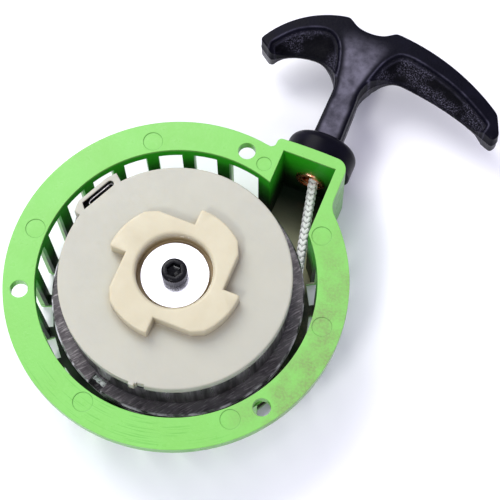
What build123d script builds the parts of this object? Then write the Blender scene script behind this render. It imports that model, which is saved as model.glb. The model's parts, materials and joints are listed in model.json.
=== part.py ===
"""Recoil starter for a small two-stroke engine, as separate pieces in one frame.

Origin: centre of the three mounting holes, on the flange's mating face.
+Z points to the engine (the open side), +Y is the way the rope is pulled.
All sizes are in millimetres.
"""

import os
from math import acos, atan2, cos, degrees, hypot, radians, sin, sqrt

from build123d import *

os.makedirs("parts", exist_ok=True)

# ---- housing -------------------------------------------------------------
FLANGE_R = 66.9
FLANGE_T = 4.5
CAVITY_R = 54.6
WALL_R = 57.8
WALL_DRAFT = 1.4
DEPTH = 39.0
FLOOR_T = 3.0
FLOOR_Z = -DEPTH + FLOOR_T
BACK_ROUND = 1.5
BACK_RECESS_R = 14.0
BACK_BOSS_R = 7.0
BACK_RECESS_DEPTH = 1.2
BOLT_PCD = 121.0
BOLT_HOLE_R = 3.5
BOLT_COUNT = 3
BOLT_ANGLE = 85.3
PIN_MARK_ANGLES = (3.3, 39.7, 121.9, 180.8, 256.9, 313.2)
PIN_MARK_R = 3.9
PIN_MARK_CIRCLE_R = 59.2
PIN_MARK_DEPTH = 0.2
SMALL_MARK_ANGLE = 77.0
SMALL_MARK_R = 3.0

# vents: two rows of windows in the side wall that run on into the rim of the floor
VENT_PITCH = 14.85
VENT_ROWS = ((100.9, 11), (270.2, 9))
VENT_W = 9.5
VENT_INNER_R = 51.7
VENT_TOP_Z = -FLANGE_T - 0.2
WIDE_VENT_ANGLE = 83.5
WIDE_VENT_W = 13.2

# rope channel: a box-shaped block on the side of the housing
CHANNEL_START = 20.0
CHANNEL_LEFT = 18.3
CHANNEL_RIGHT = 40.4
CHANNEL_END = 66.1
BLOCK_LEFT = 14.5
BLOCK_RIGHT = 44.4
BLOCK_END = 70.4
BLOCK_BOW = 0.5
BLOCK_LEFT_ROUND = 2.0
BLOCK_RIGHT_ROUND = 5.0
BLOCK_LEFT_ROOT_Y = 45.0
BLOCK_RIGHT_ROOT_Y = 30.0
FLANGE_LEFT_BLEND = 2.0
FLANGE_RIGHT_BLEND = 9.0

# ---- rope line -----------------------------------------------------------
ROPE_R = 1.95
ROPE_X = 30.0
ROPE_Z = -20.5
ROPE_LAYER = 4.0
ROPE_OUTER_R = 45.0
ROPE_HALF_TURNS = 7
EYELET_Y = (CHANNEL_END + BLOCK_END) / 2
EYELET_THROAT_R = 3.5
EYELET_TUBE_R = 5.0
EYELET_LIP_R = 6.3
EYELET_LIP_T = 1.1
EYELET_MOUTH_R = 1.1
EYELET_FLARE = 0.8
RUN_BEND_R = 12.0

# ---- centre stack --------------------------------------------------------
POST_R = 8.0
POST_TOP = 4.3
SLEEVE_R = 9.5
RUNNING_FIT = 0.05
SEAT_FIT = 0.02
SCREW_R = 3.0
SCREW_HEAD_R = 5.0
SCREW_HEAD_H = 6.0
SCREW_LENGTH = 18.0
HEX_ACROSS_FLATS = 5.0
HEX_DEPTH = 3.2
INSERT_R = 4.5
INSERT_LENGTH = 16.0
INSERT_HOLE_SPARE = 3.0
WASHER_R = 13.3
WASHER_T = 1.5
SMALL_WASHER_R = 14.0
FLOOR_WASHER_T = 1.2
THRUST_WASHER_T = 1.3

# ---- reel ----------------------------------------------------------------
REEL_R = 49.8
REEL_TOP_Z = -15.4
REEL_FLANGE_T = 2.2
GROOVE_H = 5.8
REEL_WEB_T = 3.6
REEL_RIB_COUNT = 6
REEL_RIB_T = 2.0
GROOVE_ROOT_R = 30.8
REEL_CORE_R = 27.6
HUB_R = 15.5
BUSH_R = 11.5
HUB_TOP_Z = -0.9
HUB_BOTTOM_Z = -34.6
NOTCH_ANGLE = 252.2
NOTCH_INNER_R = 45.3
NOTCH_W = 6.2
HOOK_SLOT_DEPTH = 2.6
HOOK_SLOT_W = 1.8

# ---- springs -------------------------------------------------------------
DAMPER_T = 0.9
DAMPER_OUTER_R = 44.2
DAMPER_STEP = 1.5
DAMPER_HALF_TURNS = 17
DAMPER_LOW_Z = -14.9
DAMPER_HIGH_Z = -0.7
DAMPER_TONGUE_TOP = 4.0
DAMPER_TONGUE_T = 0.6
DAMPER_END_ANGLE = 165.0
RECOIL_T = 0.6
RECOIL_OUTER_R = 39.6
RECOIL_STEP = 1.2
RECOIL_HALF_TURNS = 19
RECOIL_LOW_Z = -35.0
RECOIL_HIGH_Z = -27.4
RECOIL_END_ANGLE = 225.0
CASE_R = 41.2
CASE_T = 0.8
CASE_TOP_Z = -27.0
CASE_HOLE_R = 18.0
CASE_SLOT_W = 1.6
KEY_OFFSETS = (-4.6, 4.6, 115.0, 125.0, 235.0, 245.0)
KEY_LENGTH = 3.4
KEY_W = 4.0
KEY_H = 6.0

# ---- cam wheel -----------------------------------------------------------
CAM_R = 45.1
CAM_LOW_Z = 0.6
CAM_DISC_Z = 5.0
CAM_TOP_Z = 11.2
CAM_BORE_R = 14.8
CLAW_R = 26.9
CLAW_ROOT = 20.2
CLAW_ARC_END = 48.0
CLAW_RAMP_Y = 15.2
SLOT_W = 2.7
SLOT_ROUND_END = (-38.4, 25.6)
SLOT_SQUARE_END = (-44.1, 13.7)
LUG_RIM = 1.5
LUG_SHOULDER = 1.0
DISC_ROUND = 0.7
CLAW_ROUND = 0.7
CLAW_TIP_ROUND = 1.0
BORE_ROUND = 1.5
GATE_ANGLE = 271.8
DENT_ANGLE = 276.0

# ---- handle --------------------------------------------------------------
COLLAR_START = 71.2
COLLAR_END = 83.2
COLLAR_R = 14.5
COLLAR_ROUND = 4.5
STEM_START = 77.0
STEM_FOOT_R = 7.5
STEM_FOOT_LENGTH = 8.0
STEM_SEAT_FIT = 0.1
STEM_SEAT_GAP = 0.3
GRIP_T = 15.0
GRIP_WEB_T = 7.0
KNOT_Y = 126.0
KNOT_R = 4.2
KNOT_WASHER_R = 5.4
KNOT_WASHER_T = 1.2
KNOT_FLOAT = 0.05
KNOT_POCKET_R = 5.8
STEM_BORE_R = 2.6

ROPE_AXIS = Plane(origin=(ROPE_X, 0, ROPE_Z), x_dir=(1, 0, 0), z_dir=(0, 1, 0))


def polar(radius, angle):
    """Point on a circle round the origin, angle in degrees from +X."""
    return (radius * cos(radians(angle)), radius * sin(radians(angle)))


SLOT_LENGTH = hypot(
    SLOT_ROUND_END[0] - SLOT_SQUARE_END[0], SLOT_ROUND_END[1] - SLOT_SQUARE_END[1]
)
SLOT_DIR = (
    (SLOT_ROUND_END[0] - SLOT_SQUARE_END[0]) / SLOT_LENGTH,
    (SLOT_ROUND_END[1] - SLOT_SQUARE_END[1]) / SLOT_LENGTH,
)
SLOT_BACK = (-SLOT_DIR[0], -SLOT_DIR[1])


def slot_point(end, along, out):
    """Point near an end of the slot: along towards the round end, out from the axis."""
    x = end[0] + along * SLOT_DIR[0] - out * SLOT_DIR[1]
    y = end[1] + along * SLOT_DIR[1] + out * SLOT_DIR[0]
    return (x, y)


def radial_spot(radius, angle):
    """Place on a circle round the origin, turned so that local X points outwards."""
    return Location((*polar(radius, angle), 0), (0, 0, angle))


def save(builder, name):
    """Label one finished piece and write its STEP file."""
    builder.part.label = name
    export_step(builder.part, f"parts/{name}.step")


def spiral_arcs(outer_r, step, half_turns, end_angle, clockwise):
    """Half circles of a flat coil, from its outer end inwards.

    Each is (centre, radius, start angle, sweep). The radius drops by step at
    each half turn, and the centres sit on one line through the origin.
    """
    turn = 180.0 if clockwise else -180.0
    arcs = []
    start_u = outer_r
    angle = end_angle
    for k in range(half_turns):
        radius = outer_r - k * step
        side = 1 if k % 2 == 0 else -1
        centre_u = start_u - side * radius
        centre = polar(centre_u, end_angle)
        arcs.append((centre, radius, angle, turn))
        start_u = centre_u - side * radius
        angle += turn
    return arcs


def arc_point(centre, radius, angle):
    """Point on a circle round centre."""
    x, y = polar(radius, angle)
    return (centre[0] + x, centre[1] + y)


def strip_outline(arcs, thickness):
    """Closed outline of a flat strip that follows the arcs, for make_face."""
    half = thickness / 2
    for side in (half, -half):
        for centre, radius, start, turn in arcs:
            ThreePointArc(
                arc_point(centre, radius + side, start),
                arc_point(centre, radius + side, start + turn / 2),
                arc_point(centre, radius + side, start + turn),
            )
    first_centre, first_r, first_angle, _ = arcs[0]
    Line(
        arc_point(first_centre, first_r - half, first_angle),
        arc_point(first_centre, first_r + half, first_angle),
    )
    last_centre, last_r, last_angle, last_turn = arcs[-1]
    Line(
        arc_point(last_centre, last_r - half, last_angle + last_turn),
        arc_point(last_centre, last_r + half, last_angle + last_turn),
    )


# ---- housing: flange, vented wall, rope channel block, floor and post -----
with BuildPart() as housing:
    with BuildSketch(Plane.XY.offset(-FLANGE_T)):
        Circle(FLANGE_R)
    extrude(amount=FLANGE_T)
    with BuildSketch(Plane.XY.offset(-FLANGE_T)):
        Circle(WALL_R)
    extrude(amount=-DEPTH + FLANGE_T, taper=WALL_DRAFT)
    with BuildSketch(Plane.XY.offset(-DEPTH)) as block_outline:
        with BuildLine():
            Polyline(
                (BLOCK_LEFT, BLOCK_END),
                (BLOCK_LEFT, BLOCK_LEFT_ROOT_Y),
                (BLOCK_RIGHT, BLOCK_RIGHT_ROOT_Y),
                (BLOCK_RIGHT, BLOCK_END),
            )
            ThreePointArc(
                (BLOCK_LEFT, BLOCK_END),
                ((BLOCK_LEFT + BLOCK_RIGHT) / 2, BLOCK_END + BLOCK_BOW),
                (BLOCK_RIGHT, BLOCK_END),
            )
        make_face()
        for corner_x, radius in ((BLOCK_RIGHT, BLOCK_RIGHT_ROUND), (BLOCK_LEFT, BLOCK_LEFT_ROUND)):
            fillet(block_outline.vertices().sort_by_distance((corner_x, BLOCK_END))[0], radius)
    extrude(amount=DEPTH)
    # soft fillets where the block's side faces run into the flange's edge
    upright = housing.edges().filter_by(Axis.Z)
    for side_x, radius in ((BLOCK_LEFT, FLANGE_LEFT_BLEND), (BLOCK_RIGHT, FLANGE_RIGHT_BLEND)):
        spot = (side_x, sqrt(FLANGE_R**2 - side_x**2), -FLANGE_T / 2)
        fillet(upright.sort_by_distance(spot)[0], radius)
    # rounded rim round the back
    fillet(housing.edges().group_by(Axis.Z)[0], BACK_ROUND)
    # the cavity for the reel and the rope channel that opens into it
    with BuildSketch():
        Circle(CAVITY_R)
    extrude(amount=FLOOR_Z, taper=WALL_DRAFT, mode=Mode.SUBTRACT)
    with BuildSketch(Plane.XY.offset(FLOOR_Z)):
        with Locations(((CHANNEL_LEFT + CHANNEL_RIGHT) / 2, (CHANNEL_END + CHANNEL_START) / 2)):
            Rectangle(CHANNEL_RIGHT - CHANNEL_LEFT, CHANNEL_END - CHANNEL_START)
    extrude(amount=-FLOOR_Z, mode=Mode.SUBTRACT)
    # vents
    with BuildSketch(Plane.XY.offset(-DEPTH)):
        vent_reach = WALL_R + 2.0 - VENT_INNER_R
        vents = [
            (first + k * VENT_PITCH, VENT_W) for first, count in VENT_ROWS for k in range(count)
        ]
        for angle, width in [*vents, (WIDE_VENT_ANGLE, WIDE_VENT_W)]:
            with Locations(radial_spot(VENT_INNER_R + vent_reach / 2, angle)):
                Rectangle(vent_reach, width)
    extrude(amount=DEPTH + VENT_TOP_Z, mode=Mode.SUBTRACT)
    # centre post and its tapped hole for the thread insert
    with BuildSketch(Plane.XY.offset(FLOOR_Z)):
        Circle(POST_R)
    extrude(amount=POST_TOP - FLOOR_Z)
    with BuildSketch(Plane.XY.offset(POST_TOP)):
        Circle(INSERT_R)
    extrude(amount=-INSERT_LENGTH - INSERT_HOLE_SPARE, mode=Mode.SUBTRACT)
    # keys on the floor, either side of the recoil spring's outer hook
    with BuildSketch(Plane.XY.offset(FLOOR_Z)):
        for offset in KEY_OFFSETS:
            with Locations(radial_spot(CASE_R + 0.2 + KEY_LENGTH / 2, RECOIL_END_ANGLE + offset)):
                Rectangle(KEY_LENGTH, KEY_W)
    extrude(amount=KEY_H)
    # the eyelet's hole through the end wall
    with BuildSketch(ROPE_AXIS.offset(CHANNEL_END)):
        Circle(EYELET_TUBE_R)
    extrude(amount=BLOCK_END + BLOCK_BOW - CHANNEL_END, mode=Mode.SUBTRACT)
    # mounting holes
    with BuildSketch():
        with PolarLocations(BOLT_PCD / 2, BOLT_COUNT, start_angle=BOLT_ANGLE):
            Circle(BOLT_HOLE_R)
    extrude(amount=-FLANGE_T, mode=Mode.SUBTRACT)
    # faint round marks in the flange's face
    with BuildSketch():
        for angle in PIN_MARK_ANGLES:
            with Locations(polar(PIN_MARK_CIRCLE_R, angle)):
                Circle(PIN_MARK_R)
        with Locations(polar(PIN_MARK_CIRCLE_R, SMALL_MARK_ANGLE)):
            Circle(SMALL_MARK_R)
    extrude(amount=-PIN_MARK_DEPTH, mode=Mode.SUBTRACT)
    # shallow ring-shaped recess in the back, behind the post
    with BuildSketch(Plane.XY.offset(-DEPTH)):
        Circle(BACK_RECESS_R)
        Circle(BACK_BOSS_R, mode=Mode.SUBTRACT)
    extrude(amount=BACK_RECESS_DEPTH, mode=Mode.SUBTRACT)
save(housing, "housing")

# ---- centre stack ---------------------------------------------------------
with BuildPart() as thread_insert:
    with BuildSketch(Plane.XY.offset(POST_TOP - INSERT_LENGTH)):
        Circle(INSERT_R - SEAT_FIT)
        Circle(SCREW_R + SEAT_FIT, mode=Mode.SUBTRACT)
    extrude(amount=INSERT_LENGTH - 0.2)
save(thread_insert, "thread_insert")

with BuildPart() as post_sleeve:
    with BuildSketch(Plane.XY.offset(FLOOR_Z)):
        Circle(SLEEVE_R)
        Circle(POST_R + SEAT_FIT, mode=Mode.SUBTRACT)
    extrude(amount=POST_TOP - FLOOR_Z)
save(post_sleeve, "post_sleeve")

with BuildPart() as floor_washer:
    with BuildSketch(Plane.XY.offset(FLOOR_Z)):
        Circle(SMALL_WASHER_R)
        Circle(SLEEVE_R + RUNNING_FIT, mode=Mode.SUBTRACT)
    extrude(amount=FLOOR_WASHER_T)
save(floor_washer, "floor_washer")

with BuildPart() as thrust_washer:
    with BuildSketch(Plane.XY.offset(HUB_TOP_Z + 0.1)):
        Circle(SMALL_WASHER_R)
        Circle(SLEEVE_R + RUNNING_FIT, mode=Mode.SUBTRACT)
    extrude(amount=THRUST_WASHER_T)
save(thrust_washer, "thrust_washer")

with BuildPart() as retaining_washer:
    with BuildSketch(Plane.XY.offset(POST_TOP)):
        Circle(WASHER_R)
        Circle(SCREW_R + 0.2, mode=Mode.SUBTRACT)
    extrude(amount=WASHER_T)
    chamfer(retaining_washer.edges().group_by(Axis.Z)[-1], 0.2)
save(retaining_washer, "retaining_washer")

HEAD_Z = POST_TOP + WASHER_T
with BuildPart() as centre_screw:
    with BuildSketch(Plane.XY.offset(HEAD_Z - SCREW_LENGTH)):
        Circle(SCREW_R)
    extrude(amount=SCREW_LENGTH)
    chamfer(centre_screw.edges().group_by(Axis.Z)[0], 0.5)
    with BuildSketch(Plane.XY.offset(HEAD_Z)):
        Circle(SCREW_HEAD_R)
    extrude(amount=SCREW_HEAD_H)
    chamfer(centre_screw.edges().group_by(Axis.Z)[-1], 0.4)
    with BuildSketch(Plane.XY.offset(HEAD_Z + SCREW_HEAD_H)):
        RegularPolygon(radius=HEX_ACROSS_FLATS / sqrt(3), side_count=6)
    extrude(amount=-HEX_DEPTH, mode=Mode.SUBTRACT)
save(centre_screw, "centre_screw")

# ---- eyelet in the channel's end wall --------------------------------------
with BuildPart() as eyelet:
    with BuildSketch(Plane.XY.offset(ROPE_Z)) as eyelet_section:
        inner_y = CHANNEL_END - EYELET_LIP_T
        outer_y = BLOCK_END + BLOCK_BOW + 0.1
        with BuildLine():
            Polyline(
                (ROPE_X + EYELET_TUBE_R - SEAT_FIT, outer_y),
                (ROPE_X + EYELET_TUBE_R - SEAT_FIT, CHANNEL_END),
                (ROPE_X + EYELET_LIP_R, CHANNEL_END),
                (ROPE_X + EYELET_LIP_R, inner_y + 0.4),
                (ROPE_X + EYELET_LIP_R - 0.5, inner_y),
                (ROPE_X + EYELET_THROAT_R + EYELET_MOUTH_R, inner_y),
            )
            RadiusArc(
                (ROPE_X + EYELET_THROAT_R + EYELET_MOUTH_R, inner_y),
                (ROPE_X + EYELET_THROAT_R, inner_y + EYELET_MOUTH_R),
                -EYELET_MOUTH_R,
            )
            Polyline(
                (ROPE_X + EYELET_THROAT_R, inner_y + EYELET_MOUTH_R),
                (ROPE_X + EYELET_THROAT_R, outer_y - EYELET_FLARE),
                (ROPE_X + EYELET_THROAT_R + EYELET_FLARE, outer_y),
                (ROPE_X + EYELET_TUBE_R - SEAT_FIT, outer_y),
            )
        make_face()
    revolve(axis=Axis((ROPE_X, 0, ROPE_Z), (0, 1, 0)))
save(eyelet, "eyelet")

# ---- reel, its bush and the rope wound on it --------------------------------
GROOVE_TOP_Z = REEL_TOP_Z - REEL_FLANGE_T
GROOVE_LOW_Z = GROOVE_TOP_Z - GROOVE_H
REEL_LOW_Z = GROOVE_LOW_Z - REEL_FLANGE_T
REEL_WEB_Z = REEL_TOP_Z - REEL_WEB_T
with BuildPart() as reel:
    with BuildSketch(Plane.XZ):
        with BuildLine():
            Polyline(
                (BUSH_R, HUB_TOP_Z),
                (HUB_R, HUB_TOP_Z),
                (HUB_R, REEL_TOP_Z),
                (REEL_R - 0.5, REEL_TOP_Z),
                (REEL_R, REEL_TOP_Z - 0.5),
                (REEL_R, GROOVE_TOP_Z + 0.5),
                (REEL_R - 0.6, GROOVE_TOP_Z),
                (GROOVE_ROOT_R, GROOVE_TOP_Z),
                (GROOVE_ROOT_R, GROOVE_LOW_Z),
                (REEL_R - 1.0, GROOVE_LOW_Z),
                (REEL_R - 1.0, REEL_LOW_Z),
                (REEL_CORE_R, REEL_LOW_Z),
                (REEL_CORE_R, REEL_WEB_Z),
                (HUB_R, REEL_WEB_Z),
                (HUB_R, HUB_BOTTOM_Z),
                (BUSH_R, HUB_BOTTOM_Z),
                close=True,
            )
        make_face()
    revolve(axis=Axis.Z)
    # ribs between the hub and the core
    with BuildSketch(Plane.XY.offset(REEL_LOW_Z)):
        for k in range(REEL_RIB_COUNT):
            rib_angle = (k + 0.5) * 360.0 / REEL_RIB_COUNT
            with Locations(radial_spot((HUB_R + REEL_CORE_R) / 2, rib_angle)):
                Rectangle(REEL_CORE_R - HUB_R + 1.0, REEL_RIB_T)
    extrude(amount=REEL_WEB_Z - REEL_LOW_Z)
    # notch in the upper flange's rim
    with BuildSketch(Plane.XY.offset(GROOVE_TOP_Z)):
        notch_reach = REEL_R + 2.0 - NOTCH_INNER_R
        with Locations(radial_spot(NOTCH_INNER_R + notch_reach / 2, NOTCH_ANGLE)):
            Rectangle(notch_reach, NOTCH_W)
    extrude(amount=REEL_FLANGE_T, mode=Mode.SUBTRACT)
    # slots in the hub for the hooked inner ends of the two springs
    for low_z, high_z in ((REEL_TOP_Z, HUB_TOP_Z), (HUB_BOTTOM_Z, REEL_LOW_Z)):
        with BuildSketch(Plane.XY.offset(low_z)):
            for angle in (DAMPER_END_ANGLE, RECOIL_END_ANGLE):
                with Locations(radial_spot(HUB_R - 0.5, angle + 180.0)):
                    Rectangle(HOOK_SLOT_DEPTH, HOOK_SLOT_W)
        extrude(amount=high_z - low_z, mode=Mode.SUBTRACT)
save(reel, "reel")

with BuildPart() as reel_bush:
    with BuildSketch(Plane.XY.offset(HUB_BOTTOM_Z)):
        Circle(BUSH_R - SEAT_FIT)
        Circle(SLEEVE_R + RUNNING_FIT, mode=Mode.SUBTRACT)
    extrude(amount=HUB_TOP_Z - HUB_BOTTOM_Z)
save(reel_bush, "reel_bush")

# the rope leaves the outermost turn on the line from the eyelet that touches it
EYELET_REACH = hypot(ROPE_X, EYELET_Y)
EYELET_BEARING = degrees(atan2(EYELET_Y, ROPE_X))
LEAVE_ANGLE = EYELET_BEARING - degrees(acos(ROPE_OUTER_R / EYELET_REACH))
rope_arcs = spiral_arcs(ROPE_OUTER_R, ROPE_LAYER / 2, ROPE_HALF_TURNS, LEAVE_ANGLE, False)

with BuildPart() as rope_coil:
    with BuildLine(Plane.XY.offset(ROPE_Z)) as coil_path:
        for centre, radius, start, turn in rope_arcs:
            ThreePointArc(
                arc_point(centre, radius, start),
                arc_point(centre, radius, start + turn / 2),
                arc_point(centre, radius, start + turn),
            )
    leave = (*polar(ROPE_OUTER_R, LEAVE_ANGLE), ROPE_Z)
    leave_dir = (-sin(radians(LEAVE_ANGLE)), cos(radians(LEAVE_ANGLE)), 0)
    with BuildSketch(Plane(origin=leave, z_dir=leave_dir)):
        Circle(ROPE_R)
    sweep(path=coil_path.wires()[0])
save(rope_coil, "rope_coil")

# straight run from the reel through the channel and the eyelet
with BuildPart() as rope_run:
    with BuildLine(Plane.XY.offset(ROPE_Z)) as run_path:
        FilletPolyline(
            polar(ROPE_OUTER_R, LEAVE_ANGLE),
            (ROPE_X, EYELET_Y - 0.6),
            (ROPE_X, COLLAR_START),
            radius=RUN_BEND_R,
        )
    with BuildSketch(Plane(origin=leave, z_dir=leave_dir)):
        Circle(ROPE_R)
    sweep(path=run_path.wires()[0])
save(rope_run, "rope_run")

# ---- springs and the recoil spring's case ----------------------------------
with BuildPart() as damper_spring:
    damper_arcs = spiral_arcs(
        DAMPER_OUTER_R, DAMPER_STEP, DAMPER_HALF_TURNS, DAMPER_END_ANGLE, True
    )
    with BuildSketch(Plane.XY.offset(DAMPER_LOW_Z)):
        with BuildLine():
            strip_outline(damper_arcs, DAMPER_T)
        make_face()
    extrude(amount=DAMPER_HIGH_Z - DAMPER_LOW_Z)
    # outer end: bends out under the cam wheel, and a hooked tongue stands in its slot
    coil_end = polar(DAMPER_OUTER_R, DAMPER_END_ANGLE)
    tongue_low = slot_point(SLOT_SQUARE_END, 1.2, 0.0)
    tongue_high = slot_point(SLOT_ROUND_END, -1.0, 0.0)
    with BuildSketch(Plane.XY.offset(DAMPER_LOW_Z + 4.0)):
        with BuildLine():
            Spline(coil_end, tongue_low, tongue_high, tangents=[(-0.15, 1.0), SLOT_DIR])
        trace(line_width=DAMPER_T)
    extrude(amount=DAMPER_HIGH_Z - DAMPER_LOW_Z - 4.0)
    with BuildSketch(Plane.XY.offset(DAMPER_HIGH_Z - 4.0)):
        with BuildLine():
            Line(tongue_high, tongue_low)
            TangentArc(tongue_low, slot_point(SLOT_SQUARE_END, 0.3, -0.85), tangent=SLOT_BACK)
        trace(line_width=DAMPER_TONGUE_T)
    extrude(amount=DAMPER_TONGUE_TOP - DAMPER_HIGH_Z + 4.0)
    # inner end: a hook into the reel's hub
    inner_r = DAMPER_OUTER_R - DAMPER_STEP * (DAMPER_HALF_TURNS - 1)
    hook_angle = DAMPER_END_ANGLE + 180.0
    with BuildSketch(Plane.XY.offset(DAMPER_LOW_Z)):
        with Locations(radial_spot((HUB_R + inner_r) / 2 - 0.3, hook_angle)):
            Rectangle(inner_r - HUB_R + 1.4, DAMPER_T)
    extrude(amount=DAMPER_HIGH_Z - DAMPER_LOW_Z)
save(damper_spring, "damper_spring")

with BuildPart() as recoil_spring:
    recoil_arcs = spiral_arcs(
        RECOIL_OUTER_R, RECOIL_STEP, RECOIL_HALF_TURNS, RECOIL_END_ANGLE, True
    )
    with BuildSketch(Plane.XY.offset(RECOIL_LOW_Z)):
        with BuildLine():
            strip_outline(recoil_arcs, RECOIL_T)
        make_face()
    extrude(amount=RECOIL_HIGH_Z - RECOIL_LOW_Z)
    # both ends are hooked: inwards to the hub and outwards through the case
    inner_r = RECOIL_OUTER_R - RECOIL_STEP * (RECOIL_HALF_TURNS - 1)
    hook_angle = RECOIL_END_ANGLE + 180.0
    with BuildSketch(Plane.XY.offset(RECOIL_LOW_Z)):
        with Locations(radial_spot((HUB_R + inner_r) / 2 - 0.3, hook_angle)):
            Rectangle(inner_r - HUB_R + 1.4, RECOIL_T)
        with Locations(radial_spot(RECOIL_OUTER_R + 1.6, RECOIL_END_ANGLE)):
            Rectangle(3.6, RECOIL_T)
    extrude(amount=RECOIL_HIGH_Z - RECOIL_LOW_Z)
save(recoil_spring, "recoil_spring")

with BuildPart() as spring_case:
    with BuildSketch(Plane.XY.offset(FLOOR_Z)):
        Circle(CASE_R)
        Circle(CASE_HOLE_R, mode=Mode.SUBTRACT)
    extrude(amount=CASE_T)
    with BuildSketch(Plane.XY.offset(FLOOR_Z)):
        Circle(CASE_R)
        Circle(CASE_R - CASE_T, mode=Mode.SUBTRACT)
    extrude(amount=CASE_TOP_Z - FLOOR_Z)
    with BuildSketch(Plane.XY.offset(FLOOR_Z + CASE_T)):
        with Locations(radial_spot(CASE_R, RECOIL_END_ANGLE)):
            Rectangle(4.0, CASE_SLOT_W)
    extrude(amount=CASE_TOP_Z - FLOOR_Z, mode=Mode.SUBTRACT)
save(spring_case, "spring_case")

# ---- cam wheel: disc, four claws, lug and slot -------------------------------
with BuildPart() as cam_wheel:
    lug_out = SLOT_W / 2 + LUG_RIM
    with BuildSketch(Plane.XY.offset(CAM_LOW_Z)):
        Circle(CAM_R)
        with BuildLine():
            Polyline(
                (0, 0),
                slot_point(SLOT_SQUARE_END, -4.6, 0.6),
                slot_point(SLOT_SQUARE_END, -2.6, lug_out - LUG_SHOULDER),
                slot_point(SLOT_SQUARE_END, -0.6, lug_out),
                slot_point(SLOT_ROUND_END, 0.6, lug_out),
                slot_point(SLOT_ROUND_END, 4.6, lug_out - LUG_SHOULDER),
                close=True,
            )
        make_face()
        # moulding gate: a nib on the rim
        with Locations(radial_spot(CAM_R, GATE_ANGLE)):
            Rectangle(1.8, 2.2)
    extrude(amount=CAM_DISC_Z - CAM_LOW_Z)
    rim = cam_wheel.edges().group_by(Axis.Z)[-1]
    fillet(rim.sort_by(SortBy.LENGTH)[-1], DISC_ROUND)
    with BuildSketch(Plane.XY.offset(CAM_DISC_Z)) as claws:
        with BuildLine():
            arc_mid_angle = (90 + CLAW_ARC_END) / 2
            for k in range(4):
                back = -90.0 * k
                drive_foot = polar(CLAW_ROOT, 90 + back)
                tip = polar(CLAW_R, 90 + back)
                arc_end = polar(CLAW_R, CLAW_ARC_END + back)
                ramp_r = hypot(CLAW_ROOT, CLAW_RAMP_Y)
                ramp = polar(ramp_r, degrees(atan2(CLAW_RAMP_Y, CLAW_ROOT)) + back)
                Line(drive_foot, tip)
                ThreePointArc(tip, polar(CLAW_R, arc_mid_angle + back), arc_end)
                Polyline(arc_end, ramp, polar(CLAW_ROOT, back))
        make_face()
        tips = [v for v in claws.vertices() if hypot(v.X, v.Y) > CLAW_ROOT + 0.5]
        fillet(tips, CLAW_TIP_ROUND)
    extrude(amount=CAM_TOP_Z - CAM_DISC_Z)
    with BuildSketch(Plane.XY.offset(POST_TOP - 0.15)):
        Circle(CAM_BORE_R)
    extrude(amount=CAM_TOP_Z - POST_TOP + 0.15, mode=Mode.SUBTRACT)
    with BuildSketch(Plane.XY.offset(CAM_LOW_Z)):
        Circle(SLEEVE_R + RUNNING_FIT)
    extrude(amount=CAM_DISC_Z, mode=Mode.SUBTRACT)
    top_edges = cam_wheel.edges().group_by(Axis.Z)[-1]
    bore_rim = [e for e in top_edges if abs(e.center().Z - CAM_TOP_Z) < 0.01 and e.length > 80]
    claw_rim = [e for e in top_edges if e not in bore_rim]
    fillet(bore_rim, BORE_ROUND)
    fillet(claw_rim, CLAW_ROUND)
    # slot for the damper spring's tongue: round at one end, square at the other
    with BuildSketch(Plane.XY.offset(CAM_LOW_Z)):
        with BuildLine():
            half = SLOT_W / 2
            Polyline(
                slot_point(SLOT_ROUND_END, 0, half),
                slot_point(SLOT_SQUARE_END, 0, half),
                slot_point(SLOT_SQUARE_END, -1.2, -half),
                slot_point(SLOT_ROUND_END, 0, -half),
            )
            ThreePointArc(
                slot_point(SLOT_ROUND_END, 0, -half),
                slot_point(SLOT_ROUND_END, half, 0),
                slot_point(SLOT_ROUND_END, 0, half),
            )
        make_face()
        # shallow dent beside the gate nib
        with Locations(radial_spot(CAM_R, DENT_ANGLE)):
            Rectangle(1.4, 3.0)
    extrude(amount=CAM_DISC_Z, mode=Mode.SUBTRACT)
save(cam_wheel, "cam_wheel")

# ---- handle: collar, grip, rope end, knot and washer -------------------------
with BuildPart() as handle_collar:
    with BuildSketch(Plane.XY.offset(ROPE_Z)):
        with BuildLine():
            Polyline(
                (ROPE_X + STEM_BORE_R, STEM_START - STEM_SEAT_GAP),
                (ROPE_X + STEM_BORE_R, COLLAR_START),
                (ROPE_X + COLLAR_R - 0.6, COLLAR_START),
                (ROPE_X + COLLAR_R, COLLAR_START + 0.6),
                (ROPE_X + COLLAR_R, COLLAR_END - COLLAR_ROUND),
            )
            RadiusArc(
                (ROPE_X + COLLAR_R, COLLAR_END - COLLAR_ROUND),
                (ROPE_X + COLLAR_R - COLLAR_ROUND, COLLAR_END),
                -COLLAR_ROUND,
            )
            Polyline(
                (ROPE_X + COLLAR_R - COLLAR_ROUND, COLLAR_END),
                (ROPE_X + STEM_FOOT_R + STEM_SEAT_FIT, COLLAR_END),
                (ROPE_X + STEM_FOOT_R + STEM_SEAT_FIT, STEM_START - STEM_SEAT_GAP),
                (ROPE_X + STEM_BORE_R, STEM_START - STEM_SEAT_GAP),
            )
        make_face()
    revolve(axis=Axis((ROPE_X, 0, ROPE_Z), (0, 1, 0)))
save(handle_collar, "handle_collar")

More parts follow.
